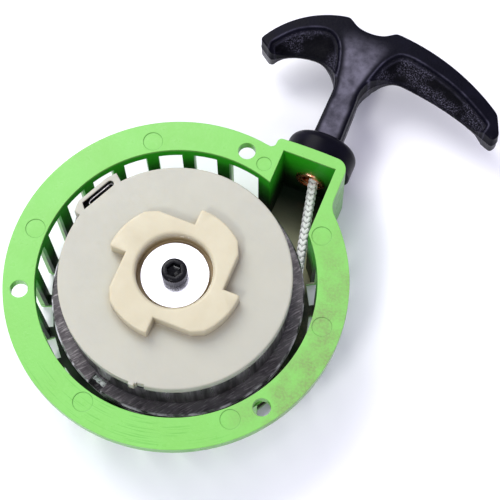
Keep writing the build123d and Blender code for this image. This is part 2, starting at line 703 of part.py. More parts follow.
with BuildPart() as grip:
    with BuildSketch(Plane.XY.offset(ROPE_Z - GRIP_T / 2)) as grip_outline:
        with BuildLine():
            # from the stem's left foot, round the short wing, the crown, the long wing
            Line((24.4, STEM_START + 6.5), (24.8, 103.0))
            ThreePointArc((24.8, 103.0), (22.0, 112.2), (13.0, 117.2))
            ThreePointArc((13.0, 117.2), (3.0, 115.4), (-5.2, 110.6))
            Line((-5.2, 110.6), (-11.8, 115.2))
            ThreePointArc((-11.8, 115.2), (1.6, 131.0), (19.6, 138.0))
            Spline((19.6, 138.0), (24.4, 134.9), (30.0, 134.0), (35.6, 134.9), (40.2, 138.0))
            ThreePointArc((40.2, 138.0), (68.9, 131.4), (91.0, 119.2))
            Polyline((91.0, 119.2), (94.8, 110.4), (93.0, 107.4))
            ThreePointArc((93.0, 107.4), (72.0, 115.0), (49.0, 119.6))
            ThreePointArc((49.0, 119.6), (39.5, 115.6), (35.5, 103.0))
            Line((35.5, 103.0), (35.9, STEM_START + 6.5))
            Line((35.9, STEM_START + 6.5), (24.4, STEM_START + 6.5))
        make_face()
    extrude(amount=GRIP_T)
    # scooped finger faces on both sides of both wings, below the outer spine
    step_depth = (GRIP_T - GRIP_WEB_T) / 2
    for low_z in (ROPE_Z - GRIP_T / 2, ROPE_Z + GRIP_WEB_T / 2):
        with BuildSketch(Plane.XY.offset(low_z)):
            with BuildLine():
                Polyline((23.0, 106.0), (23.6, 113.0))
                Spline((23.6, 113.0), (19.4, 125.4), (12.6, 129.6), (2.0, 125.6), (-7.6, 115.4))
                Polyline((-7.6, 115.4), (-4.0, 108.0), (6.0, 104.0), (23.0, 106.0))
            make_face()
        with BuildSketch(Plane.XY.offset(low_z)):
            with BuildLine():
                Polyline((37.4, 106.0), (37.0, 113.0))
                Spline((37.0, 113.0), (41.0, 126.0), (49.0, 130.2), (70.0, 124.6), (88.6, 113.6))
                Polyline((88.6, 113.6), (89.6, 104.0), (60.0, 104.0), (37.4, 106.0))
            make_face()
        extrude(amount=step_depth, mode=Mode.SUBTRACT)
    # round foot of the stem, seated in the collar
    with BuildSketch(ROPE_AXIS.offset(STEM_START)):
        Circle(STEM_FOOT_R)
    extrude(amount=STEM_FOOT_LENGTH)
    # bore for the rope and the knot's pocket under the crown
    with BuildSketch(ROPE_AXIS.offset(STEM_START)):
        Circle(STEM_BORE_R)
    extrude(amount=KNOT_Y - STEM_START, mode=Mode.SUBTRACT)
    with BuildSketch(ROPE_AXIS.offset(KNOT_Y - KNOT_R - KNOT_WASHER_T - KNOT_FLOAT)):
        Circle(KNOT_POCKET_R)
    extrude(amount=20.0, mode=Mode.SUBTRACT)
save(grip, "grip")

with BuildPart() as knot_washer:
    with BuildSketch(ROPE_AXIS.offset(KNOT_Y - KNOT_R - KNOT_WASHER_T)):
        Circle(KNOT_WASHER_R)
        Circle(STEM_BORE_R, mode=Mode.SUBTRACT)
    extrude(amount=KNOT_WASHER_T)
save(knot_washer, "knot_washer")

with BuildPart() as rope_end:
    with BuildSketch(ROPE_AXIS.offset(COLLAR_START + 0.05)):
        Circle(ROPE_R)
    extrude(amount=KNOT_Y - COLLAR_START)
    with Locations((ROPE_X, KNOT_Y, ROPE_Z)):
        Sphere(KNOT_R)
save(rope_end, "rope_end")
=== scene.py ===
"""Looks of the recoil starter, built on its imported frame.

Metres, in the frame of the CAD model: +Z faces the engine, +Y is the way the rope is pulled.
"""

import json
import math

import bmesh
import bpy
import numpy as np
from mathutils import Matrix, Vector, geometry


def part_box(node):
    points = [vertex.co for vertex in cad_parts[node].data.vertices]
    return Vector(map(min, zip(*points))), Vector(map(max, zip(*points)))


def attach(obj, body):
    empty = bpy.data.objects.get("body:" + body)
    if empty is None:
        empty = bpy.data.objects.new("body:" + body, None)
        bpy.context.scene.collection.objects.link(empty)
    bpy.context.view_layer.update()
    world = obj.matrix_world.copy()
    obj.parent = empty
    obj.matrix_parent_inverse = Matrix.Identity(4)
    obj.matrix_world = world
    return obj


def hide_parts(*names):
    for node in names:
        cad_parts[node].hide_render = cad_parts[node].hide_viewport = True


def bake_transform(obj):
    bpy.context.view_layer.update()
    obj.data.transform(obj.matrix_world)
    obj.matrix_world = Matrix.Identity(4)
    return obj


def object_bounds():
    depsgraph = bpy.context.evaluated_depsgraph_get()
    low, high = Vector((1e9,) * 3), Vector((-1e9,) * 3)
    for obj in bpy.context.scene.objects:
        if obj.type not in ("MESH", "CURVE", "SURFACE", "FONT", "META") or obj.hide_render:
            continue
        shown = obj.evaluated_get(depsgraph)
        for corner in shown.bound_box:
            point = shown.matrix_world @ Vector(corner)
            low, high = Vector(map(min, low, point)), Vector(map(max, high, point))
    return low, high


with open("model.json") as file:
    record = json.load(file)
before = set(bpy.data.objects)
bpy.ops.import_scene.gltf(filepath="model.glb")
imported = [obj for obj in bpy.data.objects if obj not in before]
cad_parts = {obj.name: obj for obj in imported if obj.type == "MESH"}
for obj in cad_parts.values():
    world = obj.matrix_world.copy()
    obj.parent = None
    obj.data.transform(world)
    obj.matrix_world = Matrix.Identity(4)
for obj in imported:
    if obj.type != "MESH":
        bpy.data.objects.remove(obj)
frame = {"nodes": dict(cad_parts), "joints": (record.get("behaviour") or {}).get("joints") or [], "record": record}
CAD_LOW, CAD_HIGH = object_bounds()
NODES = frame["nodes"]
MM = 0.001


def node_box_mm(name):
    """Lowest and highest corner of a CAD node, in millimetres."""
    low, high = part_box(name)
    return low / MM, high / MM


def unit(vectors):
    return vectors / np.linalg.norm(vectors, axis=-1, keepdims=True)


# ---- sizes read from the frame, in millimetres ----
RUN_LOW, RUN_HIGH = node_box_mm("rope_run")
EYELET_LOW, EYELET_HIGH = node_box_mm("eyelet")
GRIP_LOW, GRIP_HIGH = node_box_mm("grip")
SCREW_LOW, SCREW_HIGH = node_box_mm("centre_screw")
DAMPER_LOW, DAMPER_HIGH = node_box_mm("damper_spring")
HOUSING_LOW, _ = node_box_mm("housing")
KNOT_WASHER_LOW, _ = node_box_mm("knot_washer")
_, CAM_HIGH = node_box_mm("cam_wheel")
_, REEL_HIGH = node_box_mm("reel")
_, COLLAR_HIGH = node_box_mm("handle_collar")
_, ROPE_END_HIGH = node_box_mm("rope_end")

ROPE_X = (EYELET_LOW.x + EYELET_HIGH.x) / 2
ROPE_Z = (RUN_LOW.z + RUN_HIGH.z) / 2
ROPE_R = (RUN_HIGH.z - RUN_LOW.z) / 2
KNOT_R = ROPE_END_HIGH.z - ROPE_Z
KNOT_Y = ROPE_END_HIGH.y - KNOT_R

# ---- sizes the frame doesn't state, as in the part's source ----
ROPE_OUTER_R = 45.0  # centre line of the outer turn
ROPE_STEP = 2.0  # inwards for each half turn
ROPE_HALF_TURNS = 7
EYELET_Y = 68.25  # middle of the eyelet's throat
WALL_MIDDLE_R = 56.2  # middle of the side wall, at the flange
WALL_SLOPE = math.tan(math.radians(1.4))
CHANNEL_MIDDLE_X = 29.4
CHANNEL_REACH = 13.0  # half the channel's width and part of its walls
FLOOR_Z = -36.0  # top of the channel's floor
CAM_BORE_R = 14.8
DISC_TOP_Z = 5.0  # the cam wheel's disc, where the cog starts
SLOT_ROUND_END = np.array([-38.4, 25.6])
SLOT_SQUARE_END = np.array([-44.1, 13.7])
SLOT_HALF_W = 1.35
SLOT_HALF_LENGTH = 6.6


def pull_travel():
    """How far the handle's slide joint travels, in millimetres."""
    slide = next(j for j in frame["joints"] if j["name"] == "handle_pull")
    return max(slide["range_m"]) / MM


# ---- shader graphs ----
NODE_SAMPLES = 8


class Graph:
    """One material's node tree. Places are object coordinates in millimetres."""

    def __init__(self, name, **shader):
        self.material = bpy.data.materials.new(name)
        self.material.use_nodes = True
        self.tree = self.material.node_tree
        self.shader = self.tree.nodes["Principled BSDF"]
        coordinates = self.tree.nodes.new("ShaderNodeTexCoord")
        scale = self.tree.nodes.new("ShaderNodeVectorMath")
        scale.operation = "SCALE"
        scale.inputs["Scale"].default_value = 1 / MM
        self.link(coordinates.outputs["Object"], scale.inputs[0])
        self.place = scale.outputs["Vector"]
        self.set(**shader)

    def link(self, source, target):
        self.tree.links.new(source, target)

    def feed(self, socket, value):
        """Links an output into a socket, or sets the socket's value."""
        if isinstance(value, bpy.types.NodeSocket):
            self.link(value, socket)
        elif isinstance(value, tuple) and len(value) == 3 and socket.type == "RGBA":
            socket.default_value = (*value, 1.0)
        else:
            socket.default_value = value

    def set(self, **values):
        """Feeds the shader's own sockets; coat_roughness stands for Coat Roughness."""
        for name, value in values.items():
            label = " ".join(word if word == "IOR" else word.capitalize() for word in name.split("_"))
            self.feed(self.shader.inputs[label], value)

    def split(self):
        """The x, y and z of the place."""
        node = self.tree.nodes.new("ShaderNodeSeparateXYZ")
        self.link(self.place, node.inputs[0])
        return node.outputs["X"], node.outputs["Y"], node.outputs["Z"]

    def calc(self, operation, a, b=0.0, c=0.0):
        node = self.tree.nodes.new("ShaderNodeMath")
        node.operation = operation
        for socket, value in zip(node.inputs, (a, b, c)):
            self.feed(socket, value)
        return node.outputs[0]

    def product(self, first, *others):
        for other in others:
            first = self.calc("MULTIPLY", first, other)
        return first

    def stretched(self, x=1.0, y=1.0, z=1.0, vector=None):
        """The place, multiplied along each axis."""
        node = self.tree.nodes.new("ShaderNodeVectorMath")
        node.operation = "MULTIPLY"
        self.link(vector or self.place, node.inputs[0])
        node.inputs[1].default_value = (x, y, z)
        return node.outputs["Vector"]

    def joined(self, x, y, z):
        node = self.tree.nodes.new("ShaderNodeCombineXYZ")
        for socket, value in zip(node.inputs, (x, y, z)):
            self.feed(socket, value)
        return node.outputs["Vector"]

    def noise(self, size, detail=3.0, roughness=0.5, vector=None):
        """Smooth noise from 0 to 1, with features about size millimetres across."""
        node = self.tree.nodes.new("ShaderNodeTexNoise")
        self.link(vector or self.place, node.inputs["Vector"])
        node.inputs["Scale"].default_value = 1.0 / size
        node.inputs["Detail"].default_value = detail
        node.inputs["Roughness"].default_value = roughness
        return node.outputs["Fac"]

    def span(self, value, low, high, to_low=0.0, to_high=1.0):
        """Maps low..high smoothly onto to_low..to_high, held at the ends."""
        node = self.tree.nodes.new("ShaderNodeMapRange")
        node.interpolation_type = "SMOOTHSTEP"
        for label, number in (
            ("Value", value),
            ("From Min", low),
            ("From Max", high),
            ("To Min", to_low),
            ("To Max", to_high),
        ):
            self.feed(node.inputs[label], number)
        return node.outputs["Result"]

    def blend(self, share, first, second):
        """Colour mix: first where share is 0, second where it is 1."""
        node = self.tree.nodes.new("ShaderNodeMix")
        node.data_type = "RGBA"
        for socket, value in zip((node.inputs[0], node.inputs[6], node.inputs[7]), (share, first, second)):
            self.feed(socket, value)
        return node.outputs[2]

    def crevices(self, reach, low=0.35, high=0.85):
        """1 in corners and hollows narrower than reach millimetres, 0 in the open."""
        node = self.tree.nodes.new("ShaderNodeAmbientOcclusion")
        node.samples = NODE_SAMPLES
        node.only_local = True
        node.inputs["Distance"].default_value = reach * MM
        return self.span(node.outputs["AO"], low, high, 1.0, 0.0)

    def attribute(self, name):
        node = self.tree.nodes.new("ShaderNodeAttribute")
        node.attribute_name = name
        return node.outputs["Fac"]

    def radius(self):
        """Distance from the wheel axis."""
        x, y, _ = self.split()
        return self.calc("SQRT", self.calc("ADD", self.product(x, x), self.product(y, y)))

    def angle(self):
        """Angle round the wheel axis, in radians."""
        x, y, _ = self.split()
        return self.calc("ARCTAN2", y, x)

    def rounded(self, width):
        """Normals as if edges were rounded over width millimetres."""
        node = self.tree.nodes.new("ShaderNodeBevel")
        node.samples = NODE_SAMPLES
        node.inputs["Radius"].default_value = width * MM
        return node.outputs["Normal"]

    def bump(self, height, depth, onto=None):
        """Adds relief of depth millimetres, on top of an earlier relief if there is one."""
        node = self.tree.nodes.new("ShaderNodeBump")
        node.inputs["Distance"].default_value = depth * MM
        self.feed(node.inputs["Height"], height)
        if onto is not None:
            self.link(onto, node.inputs["Normal"])
        return node.outputs["Normal"]


def housing_inside(g):
    """1 on the walls inside the reel's cavity and the rope channel, 0 outside."""
    x, y, z = g.split()
    drafted = g.calc("ADD", g.radius(), g.product(z, -WALL_SLOPE))
    in_cavity = g.calc("LESS_THAN", drafted, WALL_MIDDLE_R)
    beside_middle = g.calc("ABSOLUTE", g.calc("SUBTRACT", x, CHANNEL_MIDDLE_X))
    in_channel = g.product(
        g.calc("LESS_THAN", beside_middle, CHANNEL_REACH),
        g.calc("LESS_THAN", y, EYELET_Y),
        g.calc("GREATER_THAN", y, 20.0),
    )
    above_back = g.calc("GREATER_THAN", z, HOUSING_LOW.z + 1.5)
    return g.product(g.calc("MAXIMUM", in_cavity, in_channel), above_back)


def enamel_tone(g):
    """Clean enamel: slow tone changes, fine mottling, painted shade in creases, on the flange's outer side and in
    the fine rings of the top face, and scratches on the low flange.
    """
    fresh, duller, brighter = (0.175, 0.49, 0.088), (0.17, 0.47, 0.08), (0.22, 0.55, 0.12)
    crease_shade, scratched = (0.035, 0.25, 0.008), (0.08, 0.34, 0.035)
    side_shade, painted_ring_shade = (0.05, 0.20, 0.025), (0.045, 0.22, 0.02)
    _, y, z = g.split()
    tone = g.blend(g.span(g.noise(22.0, 2.0), 0.35, 0.7), fresh, duller)
    tone = g.blend(g.span(g.noise(1.6, 5.0, 0.7), 0.45, 0.8, 0.0, 0.35), tone, brighter)
    # painted shade in creases and corners
    tone = g.blend(g.product(g.crevices(2.2), 0.6), tone, crease_shade)
    ringed = g.joined(g.radius(), g.product(g.angle(), 2.0), 0.0)
    arcs = g.span(g.noise(0.5, 2.0, 0.5, vector=ringed), 0.55, 0.66)
    tone = g.blend(g.product(arcs, g.span(y, -46.0, -56.0), 0.50), tone, scratched)
    # painted shade on the flange's outer side wall
    side = g.product(g.span(g.radius(), 65.8, 66.6), g.span(z, -0.2, -0.9))
    tone = g.blend(g.product(side, 0.55), tone, side_shade)
    # painted shade in the pin-mark rings and fine recesses of the top face
    outline = g.product(g.crevices(0.5, 0.62, 0.95), g.span(z, -0.5, -0.3))
    return g.blend(g.product(outline, 0.75), tone, painted_ring_shade)


def enamel_inside(g):
    """Enamel inside the housing: painted shade, darker towards the bottom, with a painted light patch on the
    channel's floor.
    """
    near_flange, at_bottom, lit_floor = (0.018, 0.38, 0.003), (0.0030, 0.018, 0.0012), (0.56, 0.56, 0.33)
    x, y, z = g.split()
    # painted shade: darker towards the bottom of the cavity
    depth_shade = g.blend(g.span(z, -4.0, -26.0), near_flange, at_bottom)
    # painted light patch on the channel's floor
    on_floor = g.product(
        g.span(z, FLOOR_Z + 1.0, FLOOR_Z + 0.1),
        g.span(y, 63.0, 38.0),
        g.span(x, 12.0, 18.0),
        g.span(y, 24.0, 32.0),
    )
    return g.blend(on_floor, depth_shade, lit_floor)


def green_enamel():
    """Glossy green paint on a die casting: orange peel, brown handling marks on the right, specks."""
    g = Graph("green_enamel", metallic=0.0, coat_weight=0.08, coat_roughness=0.15, specular_IOR_level=0.34)
    dirt_and_shade = (0.17, 0.145, 0.075)
    x, y, z = g.split()
    within = g.product(housing_inside(g), g.span(z, -0.4, -1.6))
    shaded = g.blend(within, enamel_tone(g), enamel_inside(g))
    low_right = g.product(g.span(x, 30.0, 60.0), g.span(y, 60.0, 0.0, 0.35, 1.0))
    soft = g.span(g.noise(11.0, 4.0, 0.55), 0.34, 0.66, 0.06, 0.72)
    grain = g.span(g.noise(0.9, 4.0, 0.7), 0.38, 0.62, 0.50, 1.25)
    specks = g.span(g.noise(0.9, 2.0), 0.74, 0.80, 0.0, 0.5)
    soiled = g.calc("MAXIMUM", g.product(soft, grain, low_right, 0.70), specks)
    g.set(base_color=g.blend(soiled, shaded, dirt_and_shade))
    gloss = g.span(g.noise(5.0, 4.0), 0.3, 0.75, 0.27, 0.42)
    g.set(roughness=g.calc("ADD", gloss, g.product(within, 0.25)))
    peel = g.bump(g.noise(1.1, 2.0), 0.05, onto=g.rounded(0.35))
    g.set(normal=g.bump(g.noise(0.35, 2.0), 0.03, onto=peel))
    return g.material


def slot_axes(g):
    """Distances from the middle of the cam's slot, along it and across it."""
    middle = (SLOT_ROUND_END + SLOT_SQUARE_END) / 2
    x, y, _ = g.split()
    x, y = g.calc("SUBTRACT", x, float(middle[0])), g.calc("SUBTRACT", y, float(middle[1]))
    fx, fy = map(float, unit(SLOT_ROUND_END - SLOT_SQUARE_END))
    along = g.calc("ADD", g.product(x, fx), g.product(y, fy))
    across = g.calc("SUBTRACT", g.product(y, fx), g.product(x, fy))
    return g.calc("ABSOLUTE", along), g.calc("ABSOLUTE", across)


def nylon():
    """Cream nylon of the cam wheel: warm cog, greyer disc, painted brown shade in corners and bore, painted shade
    in the slot.
    """
    g = Graph(
        "cream_nylon_moulding",
        metallic=0.0,
        subsurface_weight=0.22,
        subsurface_scale=2.2 * MM,
        subsurface_radius=(1.0, 0.7, 0.4),
    )
    disc_light, disc_dark = (0.405, 0.402, 0.322), (0.386, 0.384, 0.312)
    cog_light, cog_dark = (0.50, 0.462, 0.320), (0.475, 0.432, 0.292)
    corner_shade, bore_shade = (0.30, 0.225, 0.11), (0.27, 0.185, 0.07)
    black, scuff = (0.006, 0.006, 0.006), (0.34, 0.33, 0.28)
    _, _, z = g.split()
    disc = g.blend(g.span(g.noise(16.0, 3.0), 0.3, 0.7), disc_light, disc_dark)
    cog = g.blend(g.span(g.noise(9.0, 3.0), 0.3, 0.7), cog_light, cog_dark)
    tone = g.blend(g.span(z, DISC_TOP_Z + 0.1, DISC_TOP_Z + 1.2), disc, cog)
    # painted brown shade in corners
    tone = g.blend(g.product(g.crevices(4.5, 0.3, 0.95), 0.6), tone, corner_shade)
    # painted brown shade in the bore
    in_bore = g.product(g.span(g.radius(), CAM_BORE_R + 1.6, CAM_BORE_R), g.span(z, CAM_HIGH.z, DISC_TOP_Z))
    tone = g.blend(g.product(in_bore, 0.85), tone, bore_shade)
    # painted shade: the slot's walls and floor black
    along, across = slot_axes(g)
    in_slot = g.product(
        g.span(across, SLOT_HALF_W + 0.25, SLOT_HALF_W + 0.45, 1.0, 0.0),
        g.span(z, DISC_TOP_Z - 0.3, DISC_TOP_Z - 0.6),
        g.span(along, SLOT_HALF_LENGTH + 1.0, SLOT_HALF_LENGTH + 2.2, 1.0, 0.0),
    )
    tone = g.blend(in_slot, tone, black)
    scuffs = g.span(g.noise(0.8, 3.0, 0.6, vector=g.stretched(1.0, 0.18, 1.0)), 0.66, 0.80, 0.0, 0.22)
    g.set(base_color=g.blend(scuffs, tone, scuff))
    g.set(roughness=g.span(g.noise(3.0, 4.0), 0.3, 0.7, 0.34, 0.50))
    swirl = g.bump(g.noise(2.2, 3.0), 0.05, onto=g.rounded(0.7))
    g.set(normal=g.bump(g.noise(0.3, 1.0), 0.015, onto=swirl))
    return g.material


def reel_metal():
    """Grey cast alloy of the reel: diagonal scratches and a bright rim, partly wear and partly painted highlight,
    stronger towards -x.
    """
    g = Graph("reel_alloy_worn", metallic=0.85)
    dark, light = (0.055, 0.048, 0.052), (0.105, 0.098, 0.100)
    scratch, rim_wear_and_highlight = (0.30, 0.28, 0.28), (0.86, 0.85, 0.84)
    x, _, _ = g.split()
    blotch = g.blend(g.span(g.noise(6.0, 4.0), 0.3, 0.7), dark, light)
    turned = g.tree.nodes.new("ShaderNodeVectorRotate")
    turned.rotation_type = "Z_AXIS"
    turned.inputs["Angle"].default_value = math.radians(38)
    g.link(g.place, turned.inputs["Vector"])
    diagonal = g.stretched(1.0, 0.10, 1.0, vector=turned.outputs["Vector"])
    brushed = g.noise(0.55, 3.0, 0.6, vector=diagonal)
    streaked = g.blend(g.span(brushed, 0.50, 0.68, 0.0, 0.55), blotch, scratch)
    # bright rim: worn edge and a painted highlight, stronger towards -x
    rim = g.product(
        g.span(g.radius(), REEL_HIGH.x - 0.75, REEL_HIGH.x - 0.30),
        g.span(g.noise(4.0, 3.0), 0.40, 0.55),
        g.span(x, 10.0, -30.0, 0.25, 0.9),
    )
    g.set(base_color=g.blend(rim, streaked, rim_wear_and_highlight))
    g.set(roughness=g.span(brushed, 0.3, 0.7, 0.50, 0.34))
    grooves = g.bump(brushed, 0.05, onto=g.rounded(0.25))
    g.set(normal=g.bump(g.noise(0.5, 3.0), 0.05, onto=grooves))
    return g.material


def spring_metal():
    """Blued spring strip: soft vertical streaks along its face."""
    g = Graph("blued_spring", metallic=1.0)
    dark, light, stain = (0.055, 0.052, 0.052), (0.30, 0.29, 0.29), (0.10, 0.075, 0.055)
    _, _, z = g.split()
    wound = g.joined(g.product(g.angle(), ROPE_OUTER_R), g.radius(), g.product(z, 0.06))
    streaks = g.noise(2.6, 4.0, 0.55, vector=wound)
    tone = g.blend(g.span(streaks, 0.35, 0.68), dark, light)
    g.set(base_color=g.blend(g.span(g.noise(8.0, 3.0), 0.55, 0.75, 0.0, 0.5), tone, stain))
    g.set(roughness=g.span(streaks, 0.3, 0.7, 0.42, 0.26))
    g.set(normal=g.bump(g.noise(0.6, 3.0, vector=wound), 0.02))
    return g.material


def turned_metal(name, tint, roughness, worn=(0.9, 0.9, 0.9)):
    """Turned or plated metal: fine rings round the axis, and small stains."""
    g = Graph(name, metallic=1.0)
    _, _, z = g.split()
    rings = g.noise(0.35, 2.0, 0.5, vector=g.joined(g.radius(), z, g.product(g.angle(), 0.4)))
    patches = g.span(g.noise(3.0, 4.0), 0.42, 0.72, 0.0, 0.35)
    g.set(base_color=g.blend(patches, tint, worn))
    g.set(roughness=g.span(rings, 0.3, 0.7, roughness - 0.05, roughness + 0.08))
    g.set(normal=g.bump(rings, 0.008))
    return g.material


def copper():
    """Rolled copper eyelet, polished by the rope on its lip."""
    g = Graph("copper_lip", metallic=1.0)
    dull, polished = (0.95, 0.36, 0.17), (1.0, 0.56, 0.34)
    worn = g.span(g.noise(1.2, 4.0), 0.35, 0.65)
    g.set(base_color=g.blend(worn, dull, polished))
    g.set(roughness=g.span(worn, 0.0, 1.0, 0.28, 0.18))
    g.set(normal=g.bump(g.noise(0.4, 2.0), 0.01))
    return g.material


def black_oxide():
    """Oiled black oxide on the socket screw, a little greyer where it is rubbed."""
    g = Graph("black_oxide", metallic=0.2, specular_IOR_level=0.16)
    oiled, rubbed = (0.004, 0.004, 0.005), (0.018, 0.018, 0.020)
    rub = g.span(g.noise(0.7, 4.0, 0.6), 0.50, 0.75)
    g.set(base_color=g.blend(rub, oiled, rubbed))
    g.set(roughness=g.span(rub, 0.0, 1.0, 0.20, 0.42))
    g.set(normal=g.bump(g.noise(0.25, 2.0), 0.012))
    return g.material


def moulded_black(name, base, gloss, grain_depth, worn=None):
    """Black moulding, with painted shade in the grip's pockets and painted highlights on their grain and rims. The
    attributes scoop, rim_highlight and web mark the grip's pockets, rims and flat.

    worn is the place that handling greys, painted lighter there also for the sheen on the flat web: its middle and
    half width in x, its range in y, its grey.
    """
    g = Graph(name, metallic=0.0, specular_IOR_level=0.055)
    grain_highlight, rim_highlight_grey = (0.075, 0.071, 0.100), (0.060, 0.057, 0.085)
    x, y, _ = g.split()
    smudges = g.noise(9.0, 5.0, 0.62)
    tone = g.blend(g.span(smudges, 0.42, 0.72, 0.0, 0.5), base, tuple(2.4 * c for c in base))
    shine = g.span(smudges, 0.3, 0.7, gloss, gloss + 0.12)
    if worn is not None:
        (middle_x, half_x), (low_y, high_y), web_grey_and_sheen = worn
        from_middle = g.calc("ABSOLUTE", g.calc("SUBTRACT", x, middle_x))
        # handling wear, painted lighter also as the sheen on the flat web
        rubbed = g.product(
            g.span(from_middle, half_x * 0.4, half_x, 1.0, 0.0),
            g.span(y, low_y, low_y + 12.0),
            g.span(y, high_y - 12.0, high_y, 1.0, 0.0),
            g.span(smudges, 0.30, 0.66, 0.30, 1.0),
            g.attribute("web"),
        )
        tone = g.blend(rubbed, tone, web_grey_and_sheen)
        shine = g.calc("ADD", shine, g.product(rubbed, 0.10))
    scoop = g.attribute("scoop")
    # painted shade in the pockets
    tone = g.blend(scoop, tone, tuple(0.4 * c for c in base))
    # painted highlights on the grain in the pockets
    patch = g.span(g.noise(13.0, 2.0), 0.42, 0.58)
    grain_highlight_mask = g.product(scoop, g.span(g.noise(0.5, 3.0, 0.7), 0.50, 0.62), patch)
    tone = g.blend(grain_highlight_mask, tone, grain_highlight)
    # painted highlight along the pocket rims
    rim = g.product(g.attribute("rim_highlight"), g.span(smudges, 0.35, 0.62, 0.2, 0.9))
    g.set(base_color=g.blend(rim, tone, rim_highlight_grey))
    g.set(roughness=g.calc("ADD", shine, g.product(scoop, 0.08)))
    fine = g.bump(g.noise(0.9, 3.0), grain_depth)
    leather = g.product(g.noise(0.6, 4.0, 0.7), scoop)
    g.set(normal=g.bump(leather, 0.30, onto=fine))
    return g.material


def rope_yarn():
    """White braided nylon: fibres along each strand, painted shade where strands lie deep and in the core."""
    g = Graph("white_nylon_yarn", metallic=0.0, sheen_weight=0.25, sheen_roughness=0.4)
    white, whiter, dirt_and_shade = (0.93, 0.93, 0.885), (0.98, 0.98, 0.95), (0.10, 0.097, 0.085)
    uv = g.tree.nodes.new("ShaderNodeUVMap")
    uv.uv_map = "strand"
    fibres = g.noise(0.09, 2.0, 0.5, vector=g.stretched(1.0, 0.12, 1.0, vector=uv.outputs["UV"]))
    clean = g.blend(g.span(fibres, 0.35, 0.65), white, whiter)
    # painted shade, darker where the point lies deeper in the braid
    g.set(base_color=g.blend(g.span(g.attribute("depth"), 0.38, 1.0, 0.0, 0.85), clean, dirt_and_shade))
    g.set(roughness=0.55)
    g.set(normal=g.bump(fibres, 0.05))
    return g.material


def floor_paper():
    """White paper sweep under the object."""
    g = Graph("white_paper", metallic=0.0, roughness=0.9)
    cool, warm = (0.90, 0.90, 0.915), (0.93, 0.93, 0.94)
    g.set(base_color=g.blend(g.span(g.noise(120.0, 2.0), 0.3, 0.7), cool, warm))
    return g.material


GRIP_WEAR_AND_SHEEN = ((29.5, 13.0), (70.0, 134.0), (0.122, 0.116, 0.150))
MATERIALS = {
    "green_paint": green_enamel(),
    "cream_nylon": nylon(),
    "reel_alloy": reel_metal(),
    "spring_steel": spring_metal(),
    "plain_steel": turned_metal("sleeve_steel", (0.56, 0.56, 0.57), 0.30),
    "zinc_steel": turned_metal("bright_zinc", (0.93, 0.93, 0.94), 0.17, worn=(0.97, 0.97, 0.97)),
    "bronze_bush": turned_metal("bush_bronze", (0.55, 0.36, 0.17), 0.36, worn=(0.70, 0.50, 0.28)),
    "copper_eyelet": copper(),
    "black_screw": black_oxide(),
    "black_plastic": moulded_black("black_grip", (0.0016, 0.0015, 0.0048), 0.24, 0.05, GRIP_WEAR_AND_SHEEN),
    "black_rubber": moulded_black("black_collar", (0.0018, 0.0016, 0.0045), 0.27, 0.02),
    "braided_rope": rope_yarn(),
    "washer_plastic": moulded_black("washer_plastic", (0.05, 0.05, 0.045), 0.40, 0.02),
}


# ---- meshes ----
def linked(name, data):
    """A new object of the scene with this data."""
    obj = bpy.data.objects.new(name, data)
    bpy.context.scene.collection.objects.link(obj)
    return obj


def mesh_object(name, vertices, faces, material):
    """A mesh object from vertices in millimetres."""
    mesh = bpy.data.meshes.new(name)
    mesh.from_pydata([tuple(v) for v in np.asarray(vertices) * MM], [], faces)
    mesh.validate()
    mesh.materials.append(material)
    return linked(name, mesh)


def new_object(name, vertices, faces, slot):
    """A smooth mesh object from millimetre vertices, with the material of one record slot."""
    obj = mesh_object(name, vertices, faces, MATERIALS[slot])
    obj.data.shade_smooth()
    return obj


def add_attribute(obj, name, values):
    """Stores one number for each vertex, for the material to read."""
    attribute = obj.data.attributes.new(name, "FLOAT", "POINT")
    attribute.data.foreach_set("value", np.concatenate(values).astype(np.float32))


def outward(obj):
    """Turns a closed mesh's faces outwards."""
    bm = bmesh.new()
    bm.from_mesh(obj.data)
    bmesh.ops.recalc_face_normals(bm, faces=bm.faces)
    bm.to_mesh(obj.data)
    bm.free()
    return obj


def crisp(obj, degrees=35.0):
    """Smooth shading that keeps edges sharper than an angle."""
    obj.data.set_sharp_from_angle(angle=math.radians(degrees))
    return obj


def loft(rings, cap_start=True, cap_end=True, first=0):
    """Faces that join closed rings of equal length, numbered from first."""
    count = len(rings[0])
    faces = []
    for k in range(len(rings) - 1):
        low, high = first + k * count, first + (k + 1) * count
        for i in range(count):
            j = (i + 1) % count
            faces.append((low + i, low + j, high + j, high + i))
    if cap_start:
        faces.append(tuple(first + i for i in reversed(range(count))))
    if cap_end:
        last = first + (len(rings) - 1) * count
        faces.append(tuple(last + i for i in range(count)))
    return faces


HALF_TURN_STEPS = 45


def spiral(outer_r, step, half_turns, end_angle, sign):
    """Points of a flat coil of half circles, from its outer end inwards. The angle is in degrees.

    sign is 1 for a coil that turns anticlockwise on its way in, -1 for a clockwise one.
    """
    points = []
    start_u, angle = outer_r, end_angle
    direction = np.array([math.cos(math.radians(end_angle)), math.sin(math.radians(end_angle))])
    for k in range(half_turns):
        radius = outer_r - k * step
        side = 1 if k % 2 == 0 else -1
        centre = direction * (start_u - side * radius)
        turns = np.radians(angle + sign * np.linspace(0.0, 180.0, HALF_TURN_STEPS + 1))
        arc = centre + radius * np.column_stack([np.cos(turns), np.sin(turns)])
        points.append(arc if k == 0 else arc[1:])
        start_u -= 2 * side * radius
        angle += sign * 180.0
    return np.vstack(points)


def resampled(points, spacing):
    """The same line with even spacing, and each point's distance along it."""
    points = np.asarray(points, float)
    lengths = np.concatenate([[0.0], np.cumsum(np.linalg.norm(np.diff(points, axis=0), axis=1))])
    count = max(2, round(lengths[-1] / spacing) + 1)
    along = np.linspace(0.0, lengths[-1], count)
    columns = [np.interp(along, lengths, points[:, k]) for k in range(points.shape[1])]
    return np.column_stack(columns), along


